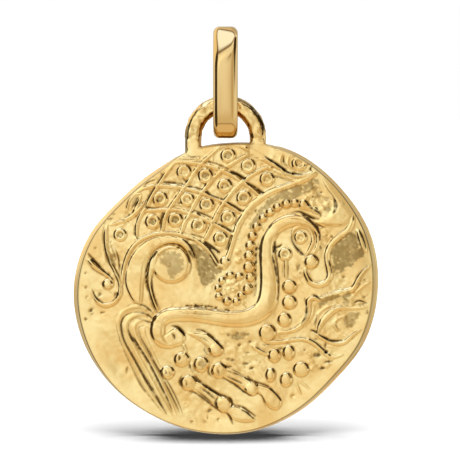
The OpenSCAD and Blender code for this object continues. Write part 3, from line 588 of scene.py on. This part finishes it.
def ridges(lines, height, wall, spread, crown):
    """The highest of several ridges, with walls of one width and a crown that rises from the shoulder."""
    field = np.zeros_like(RIGHT)
    for rows in lines:
        depth = depth_in_line(rows, spread)
        field = np.maximum(field, height * step(depth, wall) + crown * np.sqrt(depth))
    return field


def pellet(right, up, half_w, half_h, height, wall, dome):
    """A round pellet with a soft wall and a slightly domed top."""
    share = np.clip(np.hypot((RIGHT - right) / half_w, (UP - up) / half_h), 0, 1)
    return height * step((1 - share) * min(half_w, half_h), wall) + dome * (1 - share**2)


def ring(right, up, radius):
    """A small ring with a flat dish inside."""
    gap = np.hypot(RIGHT - right, UP - up) / radius
    return RING_H * (step(RING_EDGE - gap, .26) - RING_DISH_SHARE * step(RING_DISH - gap, .2))


def inside(corners):
    """1 inside a patch with the corners given, falling to 0 over its ragged edge."""
    depth = np.full_like(RIGHT, -9.0)
    odd = np.zeros(RIGHT.shape, bool)
    for (x0, y0), (x1, y1) in zip(corners, corners[1:] + corners[:1]):
        dx, dy = x1 - x0, y1 - y0
        t = np.clip(((RIGHT - x0) * dx + (UP - y0) * dy) / (dx * dx + dy * dy), 0, 1)
        depth = np.maximum(depth, -np.hypot(RIGHT - x0 - t * dx, UP - y0 - t * dy))
        if dy:
            odd ^= ((UP > y0) != (UP > y1)) & (RIGHT < x0 + (UP - y0) * dx / dy)
    depth = np.where(odd, -depth, depth)
    ragged = .05 * unevenness(.07) + .07 * unevenness(.22)
    return ramp(depth + ragged, -STAIN_EDGE / 2, STAIN_EDGE / 2)


def patchy(places, softness):
    """The strength of oval places, falling to 0 past their ragged edges."""
    field = np.zeros_like(RIGHT)
    ragged = .35 * unevenness(.09)
    for right, up, half_w, half_h, strength in places:
        gap = np.hypot((RIGHT - right) / half_w, (UP - up) / half_h)
        field = np.maximum(field, strength * ramp(gap - ragged, 1, 1 - softness))
    return field


def read(field, right, up):
    """The raster's value at points between its own."""
    x = np.clip((right + SPAN) / PITCH, 0, len(AXIS) - 1.001)
    y = np.clip((up + SPAN) / PITCH, 0, len(AXIS) - 1.001)
    i, j = y.astype(int), x.astype(int)
    s, t = y - i, x - j
    return ((1 - s) * ((1 - t) * field[i, j] + t * field[i, j + 1])
            + s * ((1 - t) * field[i + 1, j] + t * field[i + 1, j + 1]))


def read_on_eye(field, right, up, back):
    """The raster's value on the eye's skin, which runs on round its sides."""
    return read(field, right + 3 * back, up - 8)


def outline_at(angle):
    """Radius of the disc and width of its rolled edge at angles in radians."""
    rows = [(turn + degrees, radius, edge) for turn in (-360, 0, 360) for degrees, radius, edge in OUTLINE]
    line = curve(rows, 8)
    degrees = np.degrees(angle) % 360
    return np.interp(degrees, line[:, 0], line[:, 1]), np.interp(degrees, line[:, 0], line[:, 2])


def dark_lines():
    """Cut lines, painted dark as shade in their grooves, with the casting's specks and pits: narrow and
    dark, and broken off here and there.
    """
    cuts = ridges(CUTS.values(), 1, CUT_WALL, CUT_SPREAD, 0)
    cuts = cuts * np.clip(1.2 + .35 * unevenness(.1), .45, 1)
    specks = patchy(SPECKS, .7)
    pits = ramp(unevenness(.07), 2.1, 3.1) * (.1 + .9 * patchy(ROUGH, .4))
    return np.maximum.reduce([cuts, specks, pits])


def relief():
    """Heights of the relief over the flat field, and the field's own unevenness."""
    layers = [ridges(*form) for form in FORMS]
    layers += [ring(right, up, radius) for right, up, radius, _ in RINGS]
    layers += [pellet(*row, *PELLET) for row in PELLETS]
    layers += [share * pellet(right, up, radius, radius, *BEAD) for right, up, radius, share in BEADS]
    layers.append(pellet(*HAUNCH_BOSS, HAUNCH_BOSS[2], *BOSS))
    raised = np.maximum.reduce(layers) - CUT_DEPTH * LINES
    for right, up, radius in DENTS:
        raised -= pellet(right, up, radius, radius, DENT_SHARE * radius, radius, 0)
    skin = SKIN_POLISHED + SKIN_ROUGH * patchy(ROUGH, .4)
    waves = sum(height * unevenness(size) for height, size in SWELLS) + skin * unevenness(.13)
    return blurred(raised, .03), waves


def shade_and_dull():
    """Painted shade in recesses: how far a point lies below the mean of what is round it."""
    surface = HEIGHT + WAVES
    return ramp(blurred(surface, .1) - surface, .009, .039)


def tarnish():
    """Dull olive places: the charted stains and the dishes of the rings, all mottled."""
    field = np.zeros_like(RIGHT)
    for strength, corners in STAINS:
        field = np.maximum(field, strength * inside(corners))
    for right, up, radius, strength in RINGS:
        gap = np.hypot(RIGHT - right, UP - up) / radius
        field = np.maximum(field, strength * ramp(gap - .04 * unevenness(.12), .42, .34))
    mottle = .1 * unevenness(.06) + .06 * unevenness(.3) + np.clip(1.6 * unevenness(.07) - 2, 0, .8)
    return field * np.clip(.92 - mottle, 0, 1)


LINES = dark_lines()
HEIGHT, WAVES = relief()
RECESS_SHADE = shade_and_dull()
TARNISH = tarnish()
# Lumps of the casting's skin on the eye, and the grain that dulls it
SKIN = .015 * unevenness(.12) + .012 * unevenness(.4)
GRAIN = unevenness(.1)


def place(verts, right, up, depth):
    """Puts vertices right and up of the disc's centre, and a depth behind its middle plane."""
    for v, x, z, y in zip(verts, right, up, depth):
        v.co = (x * MM, y * MM, (z + DISC_Z) * MM)


def draw_on(bm, edges):
    """Extrudes open edges in place. Gives the new vertices and the new open edges."""
    made = bmesh.ops.extrude_edge_only(bm, edges=edges)["geom"]
    row = [g for g in made if isinstance(g, bmesh.types.BMVert)]
    loop = [g for g in made if isinstance(g, bmesh.types.BMEdge) and g.is_boundary]
    return row, loop


def lift(bm, up):
    """Puts a piece that was made round the origin at its height, in metres, with its faces outwards."""
    bmesh.ops.translate(bm, verts=bm.verts, vec=(0, 0, up + DISC_Z))
    bmesh.ops.scale(bm, verts=bm.verts, vec=(MM, MM, MM))
    bmesh.ops.recalc_face_normals(bm, faces=bm.faces)
    return bm


def disc():
    """The cast disc: a fine grid bent round and raised to the relief, a rolled edge and a plain back."""
    bm = bmesh.new()
    bmesh.ops.create_grid(bm, x_segments=FACE_CELLS, y_segments=FACE_CELLS, size=1)
    # The square grid's rows and columns become arcs, so that its sides fit the disc's outline
    a, b = np.array([v.co.xy for v in bm.verts], float).T
    x, y = a * np.sqrt(1 - b * b / 2), b * np.sqrt(1 - a * a / 2)
    radius, edge = outline_at(np.arctan2(y, x))
    right, up = x * (radius - edge), y * (radius - edge)
    gap = (1 - np.hypot(x, y)) * radius
    raised = read(HEIGHT, right, up - RELIEF_UP) * step(gap, RELIEF_FADE)
    waves = read(WAVES, right, up) * step(gap, SWELL_FADE)
    place(bm.verts, right, up, -HALF_T - (raised + waves))
    loop = [e for e in bm.edges if e.is_boundary]
    for share, depth in EDGE:
        row, loop = draw_on(bm, loop)
        angle = np.arctan2([v.co.z / MM - DISC_Z for v in row], [v.co.x / MM for v in row])
        radius, edge = outline_at(angle)
        reach = radius - share * edge
        place(row, reach * np.cos(angle), reach * np.sin(angle), np.full_like(reach, depth - HALF_T))
    bmesh.ops.contextual_create(bm, geom=loop)
    bmesh.ops.recalc_face_normals(bm, faces=bm.faces)
    return bm


def eye():
    """The eye's wire: a circle spun over the arch, with a straight leg into the disc at each end."""
    bm = bmesh.new()
    bmesh.ops.create_circle(bm, segments=EYE_SIDES, radius=EYE_WIRE_R)
    for v in bm.verts:
        v.co.y = max(v.co.y, -EYE_FLAT)
    bmesh.ops.translate(bm, verts=bm.verts, vec=(EYE_R, 0, 0))
    first = bm.edges[:]
    section = bm.verts[:] + first
    arch = bmesh.ops.spin(bm, geom=section, cent=(0, 0, 0), axis=(0, -1, 0), angle=math.pi, steps=EYE_STEPS)
    last = [g for g in arch["geom_last"] if isinstance(g, bmesh.types.BMEdge)]
    for loop in (first, last):
        foot, end = draw_on(bm, loop)
        bmesh.ops.translate(bm, verts=foot, vec=(0, 0, -EYE_LEG))
        bmesh.ops.scale(bm, verts=foot, vec=(1, .7, 1))
        bmesh.ops.contextual_create(bm, geom=end)
    legs = [e for e in bm.edges if abs(e.verts[0].co.z - e.verts[1].co.z) > EYE_LEG / 2]
    bmesh.ops.subdivide_edges(bm, edges=legs, cuts=12, use_grid_fill=True)
    return lift(bm, EYE_UP)


def add_object(name, bm, material):
    """A smooth-shaded object made of a bmesh, with its place in its mesh."""
    mesh = bpy.data.meshes.new(name)
    bm.to_mesh(mesh)
    bm.free()
    mesh.materials.append(material)
    for face in mesh.polygons:
        face.use_smooth = True
    obj = bpy.data.objects.new(name, mesh)
    bpy.context.scene.collection.objects.link(obj)
    return obj


def weld(piece, other):
    """Fuses another piece into a piece."""
    join = piece.modifiers.new("weld", "BOOLEAN")
    join.operation = "UNION"
    join.solver = "MANIFOLD"
    join.object = other
    fused = bpy.data.meshes.new_from_object(piece.evaluated_get(bpy.context.evaluated_depsgraph_get()))
    piece.modifiers.clear()
    piece.data = fused
    bpy.data.objects.remove(other)


def share_of(spot, right, up):
    """1 in the middle of an oblong spot, falling to 0 at its sides."""
    x, y, half_w, half_h = spot
    return max(0, 1 - ((right - x) / half_w)**2) * max(0, 1 - ((up - y) / half_h)**2)


def soften_junction(piece):
    """Rounds the eye's roots into the disc, as the wax model's were, and leaves triangles only."""
    bm = bmesh.new()
    bm.from_mesh(piece.data)
    roots = []
    for v in bm.verts:
        right, up = abs(v.co.x / MM), v.co.z / MM - DISC_Z
        beside = ROOT_RIGHT[0] < right < ROOT_RIGHT[1] and ROOT_UP[0] < up < ROOT_UP[1]
        if beside and v.co.y < ROOT_BACK * MM:
            roots.append(v)
    before = [v.co.copy() for v in roots]
    for _ in range(ROOT_PASSES):
        bmesh.ops.smooth_vert(bm, verts=roots, factor=.5, use_axis_x=True, use_axis_y=True, use_axis_z=True)
    for v, old in zip(roots, before):
        right, up = abs(old.x / MM), old.z / MM - DISC_Z
        v.co = old.lerp(v.co, min(1, 2.5 * share_of(ROOT_ROUNDED, right, up)))
        if v.co.y < ROOT_FRONT * MM:
            v.co.y += (-EYE_FLAT * MM - v.co.y) * min(.9, 2 * share_of(ROOT_FLUSH, right, up))
    bmesh.ops.triangulate(bm, faces=bm.faces)
    bm.to_mesh(piece.data)
    bm.free()


def roughen_eye(piece):
    """The eye keeps the skin of the casting: small lumps and pits along its surface."""
    for v in piece.data.vertices:
        right, back, up = v.co.x / MM, v.co.y / MM, v.co.z / MM - DISC_Z
        share = ramp(up, EYE_FROM - .2, EYE_FROM + .4)
        if share and abs(right) < 4:
            v.co += v.normal * read_on_eye(SKIN, right, up, back) * share * MM


def keep_flat(piece):
    """Leaves the plain back unsmoothed, so that its long faces shade alike."""
    for face in piece.data.polygons:
        if face.normal.y > .9999 and abs(face.center.y / MM - HALF_T) < .001:
            face.use_smooth = False


def paint_shade_and_wear(piece):
    """Keeps on the mesh, for the finish to read: painted shade in hollows, dark lines of painted shade and
    reflection with real specks and pits, and tarnish.
    """
    mesh = piece.data
    co = np.empty(len(mesh.vertices) * 3)
    mesh.vertices.foreach_get("co", co)
    x, y, z = co.reshape(-1, 3).T / MM
    up = z - DISC_Z
    reach = np.hypot(x, up)
    radius, edge = outline_at(np.arctan2(up, x))
    front = ramp(y, .3 - HALF_T, .2 - HALF_T) * ramp(radius - edge - reach, -.1, 0)
    on_front = {name: read(field, x, up - RELIEF_UP) * front
                for name, field in (("shade_and_dull", RECESS_SHADE), ("line", LINES), ("tarnish", TARNISH))}
    # A painted dark reflection inside the rolled edge, on the front half, where the edge is wide
    rim_reflection = ramp(np.abs((radius - reach) / edge - EDGE_LINE), .2, 0) * ramp(edge, .2, .3) * (y < 0)
    # Painted shade: the disc's edge under the eye, and the inside of the arch, mirror each other and are
    # painted darker
    brink = np.maximum(ramp(y + HALF_T, .02, .08), ramp(radius - reach, .2, .14))
    under_eye_shade = brink * ramp(np.abs(x), BRINK_HALF_W, BRINK_HALF_W - .4) * (y < HALF_T - .1)
    under_eye_shade = under_eye_shade * (up > BRINK_UP[0]) * (up < BRINK_UP[1])
    arch = ramp(np.hypot(x, up - EYE_UP), EYE_R - .3, EYE_R - .45) * (up > EYE_FROM)
    # The eye is left duller than the face, and a painted dark reflection runs down its left and over its
    # upper right
    on_eye = ramp(up, EYE_FROM, EYE_FROM + .5) * (reach > 11.4)
    dull = on_eye * np.clip(.2 + .2 * read_on_eye(GRAIN, x, up, y), 0, .8)
    pits = on_eye * np.minimum(.7, ramp(read_on_eye(SKIN, x, up, y), -.04, -.055))
    side = np.where(up > EYE_UP, np.hypot(x, up - EYE_UP), np.abs(x)) - EYE_R
    upper_right = ramp(x, 0, .8) * ramp(up, 12.4, 12.8)
    lower_left = (x < 0) * ramp(up, 13.3, 12.9) * ramp(up, 10.8, 11)
    eye_reflection_line = ramp(np.abs(side - EYE_LINE_OUT), .156, .036) * (y < .1)
    eye_reflection_line = eye_reflection_line * np.maximum(upper_right, lower_left)
    # Painted shade, deepest under the right half of the eye
    under_eye_shade_line = under_eye_shade * ramp(x, -1.2, 0)
    fields = {
        "shade_and_dull": [on_front["shade_and_dull"], under_eye_shade, .7 * arch, dull],
        "line": [on_front["line"], .75 * rim_reflection, .8 * eye_reflection_line, pits, .45 * under_eye_shade_line],
        "tarnish": [on_front["tarnish"]],
    }
    for name, parts in fields.items():
        values = np.maximum.reduce(parts).astype(np.float32)
        mesh.attributes.new(name, "FLOAT", "POINT").data.foreach_set("value", values)


def bail():
    """The bail's strip: a domed section spun round both bends and drawn straight between them."""
    bm = bmesh.new()
    bmesh.ops.create_circle(bm, segments=BAIL_SIDES, radius=1)
    for v in bm.verts:
        corner = BAIL_OUTER_R if v.co.y < 0 else BAIL_INNER_R
        x = math.copysign(BAIL_W / 2 - corner, v.co.x) + v.co.x * corner
        y = math.copysign(BAIL_WALL / 2 - corner, v.co.y) + v.co.y * corner
        v.co = (x, y - BEND_R + BAIL_WALL / 2, 0)
    flats = [e for e in bm.edges if e.calc_length() > BAIL_INNER_R]
    bmesh.ops.subdivide_edges(bm, edges=flats, cuts=8)
    bend = {"axis": (-1, 0, 0), "angle": math.pi, "steps": BEND_STEPS}
    upper = bmesh.ops.spin(bm, geom=bm.verts[:] + bm.edges[:], cent=(0, 0, 0), **bend)
    loop = [g for g in upper["geom_last"] if isinstance(g, bmesh.types.BMEdge)]
    straight = BAIL_H - BAIL_D
    for _ in range(BAIL_STEPS):
        row, loop = draw_on(bm, loop)
        bmesh.ops.translate(bm, verts=row, vec=(0, 0, -straight / BAIL_STEPS))
    bmesh.ops.spin(bm, geom=row + loop, cent=(0, 0, -straight), **bend)
    ends = [e for e in bm.edges if e.is_boundary]
    bmesh.ops.bridge_loops(bm, edges=ends)
    sides = [e for e in bm.edges if abs(e.verts[0].co.z - e.verts[1].co.z) > straight / 2]
    bmesh.ops.subdivide_edges(bm, edges=sides, cuts=BAIL_STEPS - 1, use_grid_fill=True)
    for v in bm.verts:
        across, up = v.co.x / (BAIL_W / 2), (v.co.z + straight / 2) / (BAIL_H / 2)
        v.co.y *= 1 - BAIL_BOW * up**2
        low = v.co.z + straight
        if low < 0:
            turn = math.atan2(low, v.co.y)
            cosine, sine = abs(math.cos(turn)), abs(math.sin(turn))
            share = (cosine**BAIL_SQUARE + sine**BAIL_SQUARE) ** (-1 / BAIL_SQUARE)
            v.co.y *= share
            v.co.z = low * share - straight
        if v.co.y < 0:
            v.co.y += BAIL_DOME * across**2 * min(1, -v.co.y)
            near_top = ramp(v.co.z, -1.2, .4) * ramp(v.co.z, BEND_R, BEND_R - 1.2)
            v.co.z += BAIL_SKEW * across * near_top * min(1, -v.co.y)
    return lift(bm, BAIL_TOP - BEND_R)


def linear(code):
    """The linear colour of an sRGB hex value."""
    parts = [int(code[i:i + 2], 16) / 255 for i in (0, 2, 4)]
    return [p / 12.92 if p <= .04045 else ((p + .055) / 1.055) ** 2.4 for p in parts] + [1]


def add_node(tree, kind, links=None, **settings):
    """Adds a node with its settings, its sockets' values, and its links from other nodes."""
    node = tree.nodes.new(kind)
    for key, value in settings.items():
        setattr(node, key, value)
    for key, value in (links or {}).items():
        if isinstance(value, bpy.types.NodeSocket):
            tree.links.new(value, node.inputs[key])
        else:
            node.inputs[key].default_value = value
    return node


def gold(name, roughness, tone):
    """Yellow gold of 18 carat: a warm mirror that takes its brightness from the room."""
    mat = bpy.data.materials.new(name)
    mat.use_nodes = True
    shader = mat.node_tree.nodes["Principled BSDF"]
    shader.inputs["Metallic"].default_value = 1
    shader.inputs["Roughness"].default_value = roughness
    shader.inputs["Base Color"].default_value = linear(tone)
    return mat


def cast_gold():
    """Cast gold polished by hand: bright on what stands up, with painted shade darker in its recesses and
    olive tarnish in its stains.
    """
    mat = gold("cast_gold", .16, "F3D189")
    tree = mat.node_tree
    shader = tree.nodes["Principled BSDF"]
    spot = add_node(tree, "ShaderNodeTexCoord").outputs["Object"]
    # Clouds in the polish, a little over 2 mm across
    cloud = add_node(tree, "ShaderNodeTexNoise",
                     {"Vector": spot, "Scale": 1 / (2.2 * MM), "Detail": 4.0, "Roughness": .65})
    polish = add_node(tree, "ShaderNodeValToRGB", {"Fac": cloud.outputs["Fac"]})
    for stop, position, code in zip(polish.color_ramp.elements, (.36, .62), ("EEC67C", "F7DB96")):
        stop.position = position
        stop.color = linear(code)
    colour = polish.outputs["Color"]
    # Of the three marks, the first is painted shade in recesses, under the eye and inside its arch, with
    # the eye's duller skin; the second is real olive tarnish; the third is dark painted shade and
    # reflection along the cut lines, the rolled edge and the eye, with real specks and pits
    for name, code in (("shade_and_dull", "B5863F"), ("tarnish", "9E824C"), ("line", "35240B")):
        shade_and_wear = add_node(tree, "ShaderNodeAttribute", attribute_name=name).outputs["Fac"]
        over = add_node(tree, "ShaderNodeMix", {0: shade_and_wear, 6: colour, 7: linear(code)}, data_type="RGBA")
        colour = over.outputs[2]
    tree.links.new(colour, shader.inputs["Base Color"])
    # Grain left by the mould. The real one is finer, and is drawn as coarse as it needs to show
    grain = add_node(tree, "ShaderNodeTexNoise", {"Vector": spot, "Scale": 1 / (.35 * MM), "Detail": 3.0})
    bump = add_node(tree, "ShaderNodeBump",
                    {"Height": grain.outputs["Fac"], "Strength": .25, "Distance": .01 * MM})
    tree.links.new(bump.outputs["Normal"], shader.inputs["Normal"])
    return mat


# How far from the pendant the paper's colour is painted darker, as a painted contact shadow
SHADE_REACH = 8


def white_paper():
    """Matt white paper. Close to the pendant its colour is painted darker, a painted contact shadow that
    deepens the lamp's, and a faint even glow of its own keeps that shadow from black.
    """
    mat = bpy.data.materials.new("white_paper")
    mat.use_nodes = True
    tree = mat.node_tree
    shader = tree.nodes["Principled BSDF"]
    clear = add_node(tree, "ShaderNodeAmbientOcclusion", {"Distance": SHADE_REACH * MM},
                     samples=16).outputs["AO"]
    share = add_node(tree, "ShaderNodeMapRange", {"Value": clear, "From Min": .6, "From Max": .8},
                     interpolation_type="SMOOTHSTEP").outputs["Result"]
    tone = add_node(tree, "ShaderNodeMix", {0: share, 6: linear("101010"), 7: linear("F7F7F7")},
                    data_type="RGBA").outputs[2]
    tree.links.new(tone, shader.inputs["Base Color"])
    shader.inputs["Roughness"].default_value = .9
    shader.inputs["Specular IOR Level"].default_value = 0
    shader.inputs["Emission Color"].default_value = linear("FFFFFF")
    shader.inputs["Emission Strength"].default_value = .05
    return mat


CAST = cast_gold()
medallion = add_object("medallion_cast", disc(), CAST)
weld(medallion, add_object("eye", eye(), CAST))
soften_junction(medallion)
roughen_eye(medallion)
keep_flat(medallion)
paint_shade_and_wear(medallion)
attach(medallion, "medallion")
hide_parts("medallion")

# The bail is buffed brighter than the casting, and its colour is painted a shade deeper, as painted shade
strip = add_object("bail_strip", bail(), gold("polished_gold", .12, "DDB978"))
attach(strip, "bail")
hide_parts("bail")

# Floor just under the disc, as if the pendant stood on its edge over it
FLOOR_UP = -11.85
ground = bmesh.new()
bmesh.ops.create_grid(ground, x_segments=1, y_segments=1, size=2)
bmesh.ops.translate(ground, verts=ground.verts, vec=(0, 0, (FLOOR_UP + DISC_Z) * MM))
floor = add_object("floor", ground, white_paper())
floor.visible_glossy = False

# Camera: a long lens in front of the face, a little above it. The picture's width is taken at the disc
FRAME_WIDTH = 36.8
AIM_RIGHT = .36
AIM_UP = 4.74
LENS = 150
SENSOR = 36
LOOK_DOWN = math.radians(4)
aim = Vector((AIM_RIGHT, 0, DISC_Z + AIM_UP)) * MM
lens = bpy.data.cameras.new("camera")
lens.lens = LENS
lens.sensor_width = SENSOR
lens.clip_start = .01
lens.clip_end = 20
camera = bpy.data.objects.new("camera", lens)
bpy.context.scene.collection.objects.link(camera)
distance = FRAME_WIDTH * LENS / SENSOR * MM
camera.location = aim + Vector((0, -math.cos(LOOK_DOWN), math.sin(LOOK_DOWN))) * distance
camera.rotation_euler = (math.pi / 2 - LOOK_DOWN, 0, 0)
bpy.context.scene.camera = camera
bpy.context.scene.view_settings.view_transform = "Standard"

# The tent's light, low down and high up, and how bright it is on the floor's shadows and to the camera
TENT_LOW = (.88, .82, .72)
TENT_HIGH = (1.2, 1.3, 1.48)
SHADOW_LIGHT = (.05, .05, .05)
BACKDROP = (1, 1, 1)
# Parts of the room, each over those before it: direction, half angles of core and edge, light
ROOM = {
    "back_wall": ((0, 1, 0), 40, 75, (.62, .56, .42)),
    "back_light": ((-.6, .55, .6), 20, 45, (1.2, 1.1, .85)),
    "dim_front": ((.5, -.85, .05), 5, 32, (.7, .62, .48)),
    "front_light": ((-.42, -.85, .3), 6, 16, (1.5, 1.6, 1.75)),
    "table_border": ((0, .1, -1), 56, 60, (.46, .35, .2)),
    "table": ((0, .1, -1), 50, 56, (.97, .84, .66)),
    "top_light_border": ((-.3, -.05, 1), 38, 45, (.3, .22, .13)),
    "top_light": ((-.3, -.05, 1), 25, 36, (1.4, 1.75, 2.7)),
    "gap_right": ((.8, -.25, .5), 27, 34, (.07, .05, .03)),
    "gap_left_low": ((-.95, -.25, -.25), 22, 30, (.07, .05, .03)),
    "gap_left_high": ((-.95, -.25, .2), 20, 28, (.07, .05, .03)),
    "lens": ((.03, -1, .25), 3, 7, (.5, .42, .3)),
}


def studio():
    """A white tent round the pendant, dimmer low down, with dark gaps that draw the relief."""
    world = bpy.data.worlds.new("studio")
    bpy.context.scene.world = world
    world.use_nodes = True
    tree = world.node_tree
    way = add_node(tree, "ShaderNodeTexCoord").outputs["Generated"]
    folds = add_node(tree, "ShaderNodeTexNoise", {"Vector": way, "Scale": 5.0, "Detail": 2.0})
    tilt = add_node(tree, "ShaderNodeSeparateXYZ", {"Vector": way}).outputs["Z"]
    uneven = add_node(tree, "ShaderNodeMath", {0: folds.outputs["Fac"], 1: .5, 2: tilt},
                      operation="MULTIPLY_ADD")
    high = add_node(tree, "ShaderNodeMapRange",
                    {"Value": uneven.outputs["Value"], "From Min": -.2, "From Max": .45},
                    interpolation_type="SMOOTHSTEP")
    # Lights laid one over another, each where its cover is 1
    covers = [(high.outputs["Result"], TENT_HIGH)]
    for toward, inner, outer, light in ROOM.values():
        dot = add_node(tree, "ShaderNodeVectorMath", {0: way, 1: Vector(toward).normalized()},
                       operation="DOT_PRODUCT").outputs["Value"]
        limits = {"From Min": math.cos(math.radians(outer)), "From Max": math.cos(math.radians(inner))}
        cone = add_node(tree, "ShaderNodeMapRange", {"Value": dot, **limits},
                        interpolation_type="SMOOTHSTEP")
        covers.append((cone.outputs["Result"], light))
    path = add_node(tree, "ShaderNodeLightPath").outputs
    covers += [(path["Diffuse Depth"], SHADOW_LIGHT), (path["Is Camera Ray"], BACKDROP)]
    under = (*TENT_LOW, 1)
    for cover, light in covers:
        over = add_node(tree, "ShaderNodeMix", {0: cover, 6: under, 7: (*light, 1)}, data_type="RGBA")
        under = over.outputs[2]
    tree.links.new(under, tree.nodes["Background"].inputs["Color"])


studio()

# A lamp overhead throws the contact shadow on the floor. The gold doesn't mirror it
lamp = bpy.data.lights.new("overhead", "SUN")
lamp.angle = math.radians(48)
lamp.energy = 3.9
overhead = bpy.data.objects.new("overhead", lamp)
overhead.rotation_euler = Vector((0, -.14, 1)).to_track_quat("Z", "Y").to_euler()
overhead.visible_glossy = False
bpy.context.scene.collection.objects.link(overhead)
